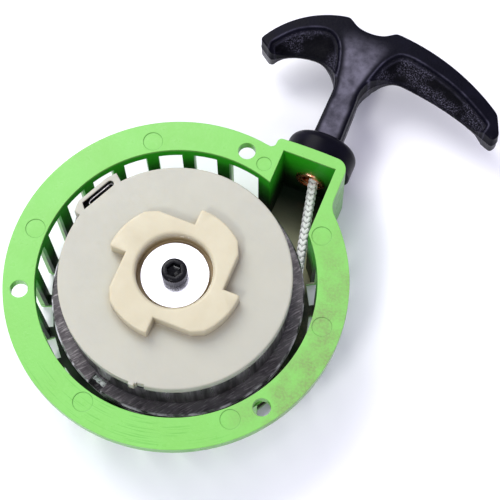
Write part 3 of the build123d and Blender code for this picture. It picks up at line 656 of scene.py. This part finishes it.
def directions(points):
    """Unit tangents of a line of points."""
    return unit(np.gradient(points, axis=0))


def eased(value):
    """0 below 0, 1 above 1, and smooth between them."""
    t = np.clip(value, 0.0, 1.0)
    return t * t * (3 - 2 * t)


# ---- braided rope ----
STRANDS_EACH_WAY = 6
STRAND_SIDES = 6
BRAID_PITCH = 13.8
STRAND_HALF_W = 0.88
STRAND_HALF_T = 0.42
WEAVE = 0.26
LOOSE_ROPE_R = 2.1


def braid(name, line, spacing, up=(0.0, 0.0, 1.0), radius=ROPE_R):
    """A round braid along a line: strands wind both ways, over in one column, under in the next."""
    scale = radius / ROPE_R
    points, along = resampled(line, spacing)
    tangents = directions(points)
    side = unit(np.cross(np.array(up), tangents))
    over = np.cross(tangents, side)
    mid_r = radius - (STRAND_HALF_T + WEAVE) * scale
    around = np.linspace(0.0, 2 * math.pi, STRAND_SIDES, endpoint=False)
    vertices, faces, uvs, depths = [], [], [], []
    for way in (1, -1):
        for strand in range(STRANDS_EACH_WAY):
            theta = way * 2 * math.pi * along / (BRAID_PITCH * scale)
            theta = theta + 2 * math.pi * strand / STRANDS_EACH_WAY
            lift = way * np.cos(STRANDS_EACH_WAY / 2 * theta)
            outwards = np.cos(theta)[:, None] * side + np.sin(theta)[:, None] * over
            centres = points + (mid_r + WEAVE * scale * lift)[:, None] * outwards
            across = unit(np.cross(directions(centres), outwards))
            half_w = (0.80 + 0.20 * lift) * STRAND_HALF_W * scale
            rings = (
                centres[:, None, :]
                + (half_w[:, None] * np.cos(around))[:, :, None] * across[:, None, :]
                + (STRAND_HALF_T * scale * np.sin(around))[None, :, None] * outwards[:, None, :]
            )
            faces += loft(rings, first=len(vertices) * len(points) * STRAND_SIDES)
            vertices.append(rings.reshape(-1, 3))
            uvs.append(np.stack(np.broadcast_arrays(around[None, :] * STRAND_HALF_W, along[:, None]), -1))
            # depth: how far under the braid a point lies, for the painted shade between strands
            edge = np.abs(np.cos(around))[None, :] ** 3
            depths.append(np.clip(0.5 - 0.5 * lift[:, None] + 0.75 * edge, 0.0, 1.0).ravel())
    ring = np.cos(around)[None, :, None] * side[:, None, :] + np.sin(around)[None, :, None] * over[:, None, :]
    core = points[:, None, :] + (mid_r - 0.5 * STRAND_HALF_T * scale) * ring
    faces += loft(core, first=len(vertices) * len(points) * STRAND_SIDES)
    vertices.append(core.reshape(-1, 3))
    uvs.append(np.stack(np.broadcast_arrays(around[None, :], along[:, None]), -1))
    depths.append(np.ones(core.shape[0] * core.shape[1]))
    obj = new_object(name, np.vstack(vertices), faces, "braided_rope")
    add_attribute(obj, "depth", depths)
    flat = np.vstack([u.reshape(-1, 2) for u in uvs])
    corners = np.zeros(len(obj.data.loops), np.int32)
    obj.data.loops.foreach_get("vertex_index", corners)
    layer = obj.data.uv_layers.new(name="strand")
    layer.data.foreach_set("uv", flat[corners].astype(np.float32).ravel())
    return outward(obj)


def leave_angle():
    """Angle, in degrees, where the rope leaves its outer turn for the eyelet."""
    reach = math.hypot(ROPE_X, EYELET_Y)
    return math.degrees(math.atan2(EYELET_Y, ROPE_X) - math.acos(ROPE_OUTER_R / reach))


def wound_rope():
    """The turns on the reel. They turn with it."""
    flat = spiral(ROPE_OUTER_R, ROPE_STEP, ROPE_HALF_TURNS, leave_angle(), -1)
    line = np.column_stack([flat, np.full(len(flat), ROPE_Z)])
    coil = braid("wound_rope", line, spacing=1.1)
    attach(coil, "reel")
    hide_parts("rope_coil")


STRETCH_START_Y = 70.2
STRETCH_END_Y = KNOT_WASHER_LOW.y - 0.8
ROPE_LEAN = 1.4  # sideways in the eyelet
LEAN_END_Y = 76.0


def rope_line(end_y):
    """Centre line from the reel, against the eyelet's throat, and on along +Y."""
    leave = math.radians(leave_angle())
    start = np.array([ROPE_OUTER_R * math.cos(leave), ROPE_OUTER_R * math.sin(leave)])
    throat = np.array([ROPE_X + ROPE_LEAN, EYELET_LOW.y + 1.0])
    near = start + 0.93 * (throat - start)
    bend = through([near, throat, (throat[0], EYELET_HIGH.y), (ROPE_X, LEAN_END_Y)])
    return np.vstack([[start], bend, [(ROPE_X, end_y)]])


def pulled_rope():
    """Rope from the reel to the knot.

    The stretch behind the eyelet is spare rope, folded short inside the grip. It is laid out at
    its natural pitch with the handle fully pulled, and then each point goes where it is at rest.
    """
    travel = pull_travel()
    flat = rope_line(KNOT_Y + travel)
    line = np.column_stack([flat, np.full(len(flat), ROPE_Z)])
    rope = braid("pull_rope", line, spacing=0.95, radius=LOOSE_ROPE_R)
    rest_y = np.linspace(-50.0, KNOT_Y + 40.0, 6000)
    pulled_y = rest_y + travel * eased((rest_y - STRETCH_START_Y) / (STRETCH_END_Y - STRETCH_START_Y))
    places = np.zeros(len(rope.data.vertices) * 3, np.float32)
    rope.data.vertices.foreach_get("co", places)
    places = places.reshape(-1, 3).astype(float)
    places[:, 1] = np.interp(places[:, 1] / MM, pulled_y, rest_y) * MM
    rope.data.vertices.foreach_set("co", places.astype(np.float32).ravel())
    rope.data.update()
    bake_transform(rope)
    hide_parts("rope_run")


def stopper_knot():
    """Overhand knot behind the washer in the grip."""
    turn = np.linspace(0.0, 2 * math.pi, 90)
    tube_r = 0.40 * KNOT_R
    x, z = np.sin(turn) + 2 * np.sin(2 * turn), np.cos(turn) - 2 * np.cos(2 * turn)
    shape = np.column_stack([x, 0.9 * np.sin(3 * turn), z])
    shape *= (KNOT_R - tube_r) / np.abs(shape).max() * 0.98
    line = shape + np.array([ROPE_X, KNOT_Y, ROPE_Z])
    knot = braid("rope_knot", line, spacing=0.5, up=(0.02, 1.0, 0.03), radius=tube_r)
    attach(knot, "rope_tail")
    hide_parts("rope_end")


# ---- springs ----
STRIP_T = 0.9
STRIP_CORNER = 0.16
DAMPER_OUTER_R = 44.2
DAMPER_STEP = 1.5
DAMPER_HALF_TURNS = 17
DAMPER_END_ANGLE = 165.0
DAMPER_TOP_Z = -0.7
TONGUE_T = 0.6
END_LOOP = ((-46.4, 10.7), (-48.0, 13.6), (-47.7, 16.9), (-45.0, 19.4))  # outside the cam's lug


def strip(flat_line, low_z, high_z, thickness, first=0):
    """Vertices and faces of a flat strip on edge along a line."""
    points = np.asarray(flat_line, float)
    tangents = directions(points)
    side = np.column_stack([-tangents[:, 1], tangents[:, 0]])
    half, cut = thickness / 2, STRIP_CORNER
    upper = [(-half, high_z - cut), (-half + cut, high_z), (half - cut, high_z), (half, high_z - cut)]
    lower = [(half, low_z + cut), (half - cut, low_z), (-half + cut, low_z)]
    section = [(-half, low_z + cut), *upper, *lower]
    rings = np.array([[(*(p + s * across), z) for across, z in section] for p, s in zip(points, side)])
    return rings.reshape(-1, 3), loft(rings, first=first)


def through(points):
    """Smooth line through points (Catmull-Rom)."""
    p = np.asarray(points, float)
    padded = np.vstack([2 * p[0] - p[1], p, 2 * p[-1] - p[-2]])
    line = []
    for k in range(1, len(padded) - 2):
        a, b, c, d = padded[k - 1 : k + 3]
        bend, twist = 2 * a - 5 * b + 4 * c - d, 3 * b - a - 3 * c + d
        for t in np.linspace(0.0, 1.0, 8, endpoint=False):
            line.append(0.5 * (2 * b + (c - a) * t + bend * t**2 + twist * t**3))
    line.append(p[-1])
    return np.array(line)


def slot_place(end, along, out):
    """Point near an end of the cam's slot: along towards the round end, out from the axis."""
    forward = unit(SLOT_ROUND_END - SLOT_SQUARE_END)
    return end + along * forward + out * np.array([-forward[1], forward[0]])


def damper_springs():
    """The damper's outer turn holds the cam's tongue; the inner turns stay with the reel."""
    coil = spiral(DAMPER_OUTER_R, DAMPER_STEP, DAMPER_HALF_TURNS, DAMPER_END_ANGLE, 1)
    outer, inner = coil[5 : 2 * HALF_TURN_STEPS + 1], coil[2 * HALF_TURN_STEPS :]
    vertices, faces = strip(inner, DAMPER_LOW.z, DAMPER_TOP_Z, STRIP_T)
    coil_piece = crisp(outward(new_object("damper_inner_turns", vertices, faces, "spring_steel")))
    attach(coil_piece, "reel")
    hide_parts("damper_spring")
    hook = through([slot_place(SLOT_SQUARE_END, a, o) for a, o in ((2.0, -0.9), (2.2, -0.1), (3.2, 0.35))])
    curl = through([slot_place(SLOT_ROUND_END, a, o) for a, o in ((-0.6, 0.35), (0.5, 0.1), (0.7, -0.8))])
    tongue = np.vstack([hook, resampled([hook[-1], curl[0]], 1.0)[0][1:-1], curl])
    lead = through([outer[0], *END_LOOP, slot_place(SLOT_ROUND_END, -5.0, 0.6), curl[0]])
    first = 0
    vertices, faces = [], []
    for line, low_z, high_z, thickness in (
        (outer, DAMPER_LOW.z, DAMPER_TOP_Z, STRIP_T),
        (lead, DAMPER_LOW.z + 2.0, DAMPER_TOP_Z - 0.1, STRIP_T * 0.94),
        (tongue, DAMPER_LOW.z + 4.0, DAMPER_HIGH.z, TONGUE_T),
    ):
        more, joined = strip(line, low_z, high_z, thickness, first)
        vertices.append(more)
        faces += joined
        first += len(more)
    turn_piece = new_object("damper_outer_turn", np.vstack(vertices), faces, "spring_steel")
    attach(crisp(outward(turn_piece)), "cam")


# ---- centre screw ----
KNURLS = 36
KNURL_DEPTH = 0.16
HEX_FLATS = 5.0
SCREW_HEAD_H = 6.0
SHANK_R = 3.0


def socket_screw():
    """Socket head cap screw with a knurled head and a hexagon recess."""
    count = KNURLS * 4
    turn = np.linspace(0.0, 2 * math.pi, count, endpoint=False)
    knurl = KNURL_DEPTH * (0.5 - 0.5 * np.cos(KNURLS * turn))
    sixth = math.pi / 3
    hexagon = (HEX_FLATS / 2) / np.cos((turn % sixth) - sixth / 2)
    top, head_r = SCREW_HIGH.z, SCREW_HIGH.x
    base = top - SCREW_HEAD_H
    rings = [
        (SHANK_R - 0.6, SCREW_LOW.z),
        (SHANK_R, SCREW_LOW.z + 0.6),
        (SHANK_R, base),
        (head_r - 0.35, base),
        (head_r - 0.08, base + 0.25),
        (head_r - knurl * 0.6, base + 0.6),
        (head_r - knurl, base + 1.0),
        (head_r - knurl, top - 1.5),
        (head_r - knurl * 0.5, top - 1.05),
        (head_r - 0.06, top - 0.8),
        (head_r - 0.30, top - 0.28),
        (head_r - 0.75, top),
        (hexagon + 0.55, top),
        (hexagon + 0.14, top - 0.08),
        (hexagon, top - 0.30),
        (hexagon, top - 2.9),
        (hexagon * 0.92, top - 3.05),
        (hexagon * 0.10, top - 3.7),
    ]
    places = [np.column_stack([r * np.cos(turn), r * np.sin(turn), np.full(count, z)]) for r, z in rings]
    screw = new_object("socket_screw", np.vstack(places), loft(places), "black_screw")
    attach(crisp(outward(screw), 40.0), "housing")
    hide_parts("centre_screw")


# ---- grip ----
GRIP_EDGE_R = 0.75
GRIP_STEP = 0.45  # spacing of the mesh
OUTLINE_SMOOTHING = 10  # passes
POCKET_DEPTH = 4.6
POCKET_STEP = 1.2  # the ledge just inside a pocket's rim
FINGER_ROUND = 4.5  # how far the rounding for the fingers reaches in from the outline
FINGER_DROP = 2.4
WING_START = 8.0  # the wings get thinner from here outwards, by WING_FALL after WING_SPAN
WING_SPAN = 52.0
WING_FALL = 1.1
PARTING_LINE = ((0.10, 0.45), (0.24, 0.16))  # steps outwards, and half height there
FOOT_PROFILE = ((2.2, 77.0), (7.0, 77.0), (7.4, 77.5), (7.4, 84.0), (2.2, 84.0))  # radius, y
KNOT_POCKET_R = 5.8
ROPE_BORE_R = 2.6


def arc_through(a, b, c, count=24):
    """Points of the circle arc from a through b to c."""
    a, b, c = (np.array(p, float) for p in (a, b, c))
    d = 2 * (a[0] * (b[1] - c[1]) + b[0] * (c[1] - a[1]) + c[0] * (a[1] - b[1]))
    sq = [p @ p for p in (a, b, c)]
    centre = np.array(
        [
            (sq[0] * (b[1] - c[1]) + sq[1] * (c[1] - a[1]) + sq[2] * (a[1] - b[1])) / d,
            (sq[0] * (c[0] - b[0]) + sq[1] * (a[0] - c[0]) + sq[2] * (b[0] - a[0])) / d,
        ]
    )
    radius = np.linalg.norm(a - centre)
    angles = [math.atan2(*(p - centre)[::-1]) for p in (a, b, c)]
    left = (angles[2] - angles[0]) % (2 * math.pi)
    passes = (angles[1] - angles[0]) % (2 * math.pi) <= left
    sweep = left if passes else left - 2 * math.pi
    turn = angles[0] + np.linspace(0.0, sweep, count)
    return centre + radius * np.column_stack([np.cos(turn), np.sin(turn)])


def grip_outline():
    """Closed outline of the grip seen from the engine side, anticlockwise."""
    stem_y = COLLAR_HIGH.y - 1.0
    pieces = [
        [(24.4, stem_y), (24.8, 103.0)],
        arc_through((24.8, 103.0), (22.0, 112.2), (13.0, 117.2)),
        arc_through((13.0, 117.2), (3.0, 115.4), (-5.2, 110.6)),
        [(-5.2, 110.6), (-11.8, 115.2)],
        arc_through((-11.8, 115.2), (1.6, 131.0), (19.6, 138.0)),
        through([(19.6, 138.0), (24.4, 134.9), (30.0, 134.0), (35.6, 134.9), (40.2, 138.0)]),
        arc_through((40.2, 138.0), (68.9, 131.4), (91.0, 119.2)),
        [(91.0, 119.2), (94.8, 110.4), (93.0, 107.4)],
        arc_through((93.0, 107.4), (72.0, 115.0), (49.0, 119.6)),
        arc_through((49.0, 119.6), (39.5, 115.6), (35.5, 103.0)),
        [(35.5, 103.0), (35.9, stem_y)],
    ]
    line = np.vstack([np.asarray(p, float) for p in pieces])
    keep = np.concatenate([[True], np.linalg.norm(np.diff(line, axis=0), axis=1) > 1e-6])
    even = resampled(closed(line[keep]), GRIP_STEP)[0][:-1]
    for _ in range(OUTLINE_SMOOTHING):
        even = 0.5 * even + 0.25 * (np.roll(even, 1, axis=0) + np.roll(even, -1, axis=0))
    area = 0.5 * np.sum(even[:, 0] * np.roll(even[:, 1], -1) - np.roll(even[:, 0], -1) * even[:, 1])
    return even if area > 0 else even[::-1]


def closed(line):
    return np.vstack([line, line[:1]])


def pocket_rims():
    """Rim lines of the two scooped pockets, from the stem's waist to the wing tips."""
    short_wing = [(24.9, 102.0), (23.9, 108.0), (23.0, 115.5), (19.4, 125.4), (12.6, 129.4)]
    short_wing += [(2.0, 125.4), (-5.4, 117.6), (-6.9, 113.6), (-4.0, 108.0)]
    long_wing = [(35.4, 101.0), (36.4, 108.0), (37.4, 115.5), (41.4, 125.8), (49.0, 129.9)]
    long_wing += [(70.0, 124.4), (86.6, 115.4), (89.0, 111.6), (86.0, 104.0)]
    return through(short_wing), through(long_wing)


def inside(points, polygon):
    """Which points lie inside a polygon."""
    x, y = points[:, 0], points[:, 1]
    within = np.zeros(len(points), bool)
    for a, b in zip(polygon, np.roll(polygon, -1, axis=0)):
        crosses = (a[1] > y) != (b[1] > y)
        with np.errstate(divide="ignore", invalid="ignore"):
            at = (b[0] - a[0]) * (y - a[1]) / (b[1] - a[1]) + a[0]
        within ^= crosses & (x < at)
    return within


def distance_to(points, line):
    """Shortest distance of each point to a line of points."""
    best = np.full(len(points), np.inf)
    for a, b in zip(line[:-1], line[1:]):
        ab = b - a
        t = np.clip(((points - a) @ ab) / max(ab @ ab, 1e-12), 0.0, 1.0)
        best = np.minimum(best, np.linalg.norm(points - (a + t[:, None] * ab), axis=1))
    return best


def grip_height(points, outline):
    """Half thickness of the grip at points, and how far each is in a pocket, on a rim (for a painted highlight),
    on the web.
    """
    full = (GRIP_HIGH.z - GRIP_LOW.z) / 2
    scoop, drop, rim_highlight = np.zeros((3, len(points)))
    edge = distance_to(points, closed(outline))
    roll = 1.0 - np.clip(edge / FINGER_ROUND, 0.0, 1.0)
    finger = FINGER_DROP * (1.0 - np.sqrt(1.0 - roll**2))
    web = eased((edge - 0.9) / 1.8)
    for rim in pocket_rims():
        within = inside(points, rim)
        past = distance_to(points, rim) * np.where(within, 1.0, -1.0)
        reach = np.maximum(past, 0.0)
        ledge = POCKET_STEP * eased(reach / 0.9)
        into_bowl = np.clip((reach - 1.5) / 6.5, 0.0, 1.0)
        bowl = (POCKET_DEPTH - POCKET_STEP) * np.sin(0.5 * np.pi * into_bowl)
        drop += np.where(within, ledge + bowl + finger * eased(reach / 3.0), 0.0)
        scoop += np.where(within, eased((reach - 0.6) / 1.6), 0.0)
        # painted highlight lines on each rim and just inside it
        rim_highlight += np.exp(-(((past + 0.2) / 0.26) ** 2)) + 0.5 * np.exp(-(((past - 1.9) / 0.26) ** 2))
        web *= eased((-past - 0.9) / 2.4)
    rough = 0.10 * np.sin(1.9 * points[:, 0] + 0.7 * np.sin(2.3 * points[:, 1]))
    rough *= np.sin(2.1 * points[:, 1] + 1.3 * np.sin(1.7 * points[:, 0]))
    wing = np.clip((np.abs(points[:, 0] - ROPE_X) - WING_START) / WING_SPAN, 0.0, 1.2)
    height = full - drop + rough * scoop - WING_FALL * wing**2
    return height, np.clip(scoop, 0.0, 1.0), np.clip(rim_highlight, 0.0, 1.0), web


def flat_triangles(loop, around):
    """Fills a closed loop, on a grid laid over the outline around it.

    Gives the points, the triangles, and each loop point's place among the points.
    """
    low, high = around.min(axis=0), around.max(axis=0)
    across = np.arange(low[0], high[0], GRIP_STEP)
    rows = np.arange(low[1], high[1], GRIP_STEP * 0.87)
    shifts = [(k % 2) * GRIP_STEP / 2 for k in range(len(rows))]
    grid = np.vstack([np.column_stack([across + dx, np.full_like(across, y)]) for dx, y in zip(shifts, rows)])
    grid = grid[inside(grid, loop)]
    grid = grid[distance_to(grid, closed(loop)) > GRIP_STEP * 0.6]
    count = len(loop)
    loop_edges = [(i, (i + 1) % count) for i in range(count)]
    flat = [Vector(p) for p in np.vstack([loop, grid])]
    result = geometry.delaunay_2d_cdt(flat, loop_edges, [], 1, 1e-7)
    order = [0] * count
    for place, sources in enumerate(result[3]):
        for source in sources:
            if source < count:
                order[source] = place
    return np.array([tuple(p) for p in result[0]]), [tuple(f) for f in result[2]], order


def grip_shell():
    """Grip body: scooped pockets, rounded edges and a raised parting line."""
    outline = grip_outline()
    tangent = unit(np.roll(outline, -1, axis=0) - np.roll(outline, 1, axis=0))
    outside = np.column_stack([tangent[:, 1], -tangent[:, 0]])
    inset = outline - GRIP_EDGE_R * outside
    count = len(inset)
    height, scoop, rim_highlight, _ = grip_height(inset, outline)
    flat, triangles, order = flat_triangles(inset, outline)
    face_height, *marks = grip_height(flat, outline)
    axis_z = (GRIP_HIGH.z + GRIP_LOW.z) / 2
    top = np.column_stack([flat, axis_z + face_height])
    bottom = np.column_stack([flat, axis_z - face_height])
    faces = triangles + [tuple(reversed([i + len(flat) for i in f])) for f in triangles]
    rings = []
    for angle in np.radians([22.5, 45.0, 67.5, 90.0]):
        shift = GRIP_EDGE_R * (1 - math.sin(angle))
        rings.append((outline - shift * outside, height - GRIP_EDGE_R * (1 - math.cos(angle))))
    rings += [(outline + step * outside, np.full(count, half)) for step, half in PARTING_LINE]
    loops = [np.column_stack([xy, axis_z + z]) for xy, z in rings]
    loops += [np.column_stack([xy, axis_z - z]) for xy, z in reversed(rings)]
    first = 2 * len(flat)
    last = first + (len(loops) - 1) * count
    faces += [tuple(reversed(f)) for f in loft(loops, cap_start=False, cap_end=False, first=first)]
    for i in range(count):
        j = (i + 1) % count
        faces.append((order[i], order[j], first + j, first + i))
        faces.append((last + i, last + j, len(flat) + order[j], len(flat) + order[i]))
    body = new_object("grip_moulding", np.vstack([top, bottom, *loops]), faces, "black_plastic")
    edge_marks = (scoop * 0.5, rim_highlight, np.zeros(count))
    for label, on_face, on_edge in zip(("scoop", "rim_highlight", "web"), marks, edge_marks):
        add_attribute(body, label, [on_face, on_face, *[on_edge] * len(loops)])
    return outward(body)


def grip_foot():
    """The grip's round foot, a ring turned about the rope axis."""
    n, segments = len(FOOT_PROFILE), 64
    vertices, faces = [], []
    for k, a in enumerate(np.linspace(0.0, 2 * math.pi, segments, endpoint=False)):
        vertices += [(ROPE_X + r * math.cos(a), y, ROPE_Z + r * math.sin(a)) for r, y in FOOT_PROFILE]
        m = (k + 1) % segments
        faces += [(k * n + i, k * n + (i + 1) % n, m * n + (i + 1) % n, m * n + i) for i in range(n)]
    return crisp(outward(new_object("grip_foot", vertices, faces, "black_plastic")))


def grip_piece():
    """The sculpted grip with its stem foot, knot pocket and bore."""
    body, foot = grip_shell(), grip_foot()
    pocket = cutter("knot_pocket_cutter", KNOT_POCKET_R, KNOT_WASHER_LOW.y - 0.02, GRIP_HIGH.y + 6.0)
    bore = cutter("rope_bore_cutter", ROPE_BORE_R, 70.0, KNOT_WASHER_LOW.y + 1.0)
    combine(body, foot, "UNION")
    combine(body, pocket, "DIFFERENCE")
    combine(body, bore, "DIFFERENCE")
    crisp(body, 42.0)
    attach(body, "handle")
    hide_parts("grip")


def cutter(name, radius, start_y, end_y):
    """A closed cylinder on the rope axis."""
    turn = np.linspace(0.0, 2 * math.pi, 56, endpoint=False)
    x, z = ROPE_X + radius * np.cos(turn), ROPE_Z + radius * np.sin(turn)
    rings = [np.column_stack([x, np.full_like(x, y), z]) for y in (start_y, end_y)]
    return outward(new_object(name, np.vstack(rings), loft(rings), "black_plastic"))


def combine(body, tool, operation):
    """Applies an exact boolean of tool to body and removes the tool."""
    modifier = body.modifiers.new(operation.lower(), "BOOLEAN")
    modifier.operation = operation
    modifier.solver = "EXACT"
    modifier.object = tool
    made = bpy.data.meshes.new_from_object(body.evaluated_get(bpy.context.evaluated_depsgraph_get()))
    body.modifiers.clear()
    body.data = made
    bpy.data.objects.remove(tool)


# ---- CAD nodes that stay ----
def finish_nodes():
    """Materials and smooth shading for the carried nodes."""
    shading, rounder_shading = smooth_by_angle(32.0), smooth_by_angle(65.0)
    slots = {n: s["slot"] for s in frame["record"]["materials"] for n in s.get("nodes", [])}
    for name, obj in NODES.items():
        slot = slots.get(name) or obj.data.materials[0].name.split(".")[0]
        obj.material_slots[0].material = MATERIALS[slot]
        weld = obj.modifiers.new("weld", "WELD")
        weld.merge_threshold = 0.002 * MM
        shade = obj.modifiers.new("shading", "NODES")
        shade.node_group = rounder_shading if name == "eyelet" else shading


def smooth_by_angle(degrees):
    """Geometry nodes that shade smooth, but for edges sharper than an angle."""
    group = bpy.data.node_groups.new("smooth_by_angle", "GeometryNodeTree")
    for way in ("INPUT", "OUTPUT"):
        group.interface.new_socket("Geometry", in_out=way, socket_type="NodeSocketGeometry")
    nodes, link = group.nodes, group.links.new
    start, end = nodes.new("NodeGroupInput"), nodes.new("NodeGroupOutput")
    faces, edges = nodes.new("GeometryNodeSetShadeSmooth"), nodes.new("GeometryNodeSetShadeSmooth")
    faces.domain, edges.domain = "FACE", "EDGE"
    angle, shallow = nodes.new("GeometryNodeInputMeshEdgeAngle"), nodes.new("FunctionNodeCompare")
    shallow.data_type, shallow.operation = "FLOAT", "LESS_THAN"
    shallow.inputs["B"].default_value = math.radians(degrees)
    link(angle.outputs["Unsigned Angle"], shallow.inputs["A"])
    link(start.outputs["Geometry"], faces.inputs["Geometry"])
    link(faces.outputs["Geometry"], edges.inputs["Geometry"])
    link(shallow.outputs["Result"], edges.inputs["Shade Smooth"])
    link(edges.outputs["Geometry"], end.inputs["Geometry"])
    return group


# ---- studio ----
CAMERA_PLACE = (0.1168, -0.1843, 0.6130)
CAMERA_RIGHT = (0.9255, 0.3785, -0.0159)
CAMERA_UP = (-0.3499, 0.8701, 0.3471)
CAMERA_LENS = 121.49
FLOOR_HALF = 4000.0
FLOOR_GAP = 0.02
SOFTBOXES = (  # name, direction towards it, distance and side in metres, watts
    ("key_softbox", (-0.62, 0.44, 0.85), 2.6, 1.70, 56.0),
    ("overhead_panel", (-0.145, 0.316, 0.938), 2.0, 0.9, 1.6),
    ("front_fill", (-0.13, -0.62, 0.79), 2.0, 0.35, 13.0),
)
SURROUND_COLOUR = (0.84, 0.82, 1.0, 1.0)
SURROUND_STRENGTH = 0.90


def camera():
    """The photo's view, solved from the object's round edges."""
    data = bpy.data.cameras.new("camera")
    data.lens = CAMERA_LENS
    data.clip_start = 0.01
    right = Vector(CAMERA_RIGHT).normalized()
    back = right.cross(Vector(CAMERA_UP)).normalized()
    turn = Matrix((right, back.cross(right), back)).transposed().to_4x4()
    obj = linked("camera", data)
    obj.matrix_world = Matrix.Translation(CAMERA_PLACE) @ turn
    bpy.context.scene.camera = obj


def softbox(name, towards, distance, size, power):
    """A square area light aimed at the middle of the object."""
    data = bpy.data.lights.new(name, "AREA")
    data.shape = "SQUARE"
    data.size = size
    data.energy = power
    obj = linked(name, data)
    direction = Vector(towards).normalized()
    obj.location = (CAD_LOW + CAD_HIGH) / 2 + direction * distance
    obj.rotation_mode = "QUATERNION"
    obj.rotation_quaternion = direction.to_track_quat("Z", "Y")


def studio():
    """White paper, a key light over the far left with two small fills, and a pale surround."""
    corners = [(x * FLOOR_HALF, y * FLOOR_HALF) for x, y in ((-1, -1), (1, -1), (1, 1), (-1, 1))]
    floor_z = CAD_LOW.z / MM - FLOOR_GAP
    floor = mesh_object("floor", [(x, y, floor_z) for x, y in corners], [(0, 1, 2, 3)], floor_paper())
    for values in SOFTBOXES:
        softbox(*values)
    world = bpy.data.worlds.new("surround")
    bpy.context.scene.world = world
    world.use_nodes = True
    background = world.node_tree.nodes["Background"]
    background.inputs["Color"].default_value = SURROUND_COLOUR
    background.inputs["Strength"].default_value = SURROUND_STRENGTH
    view = bpy.context.scene.view_settings
    view.view_transform = "Standard"
    view.look = "None"


camera()
studio()
finish_nodes()
wound_rope()
pulled_rope()
stopper_knot()
damper_springs()
socket_screw()
grip_piece()

bpy.context.view_layer.update()
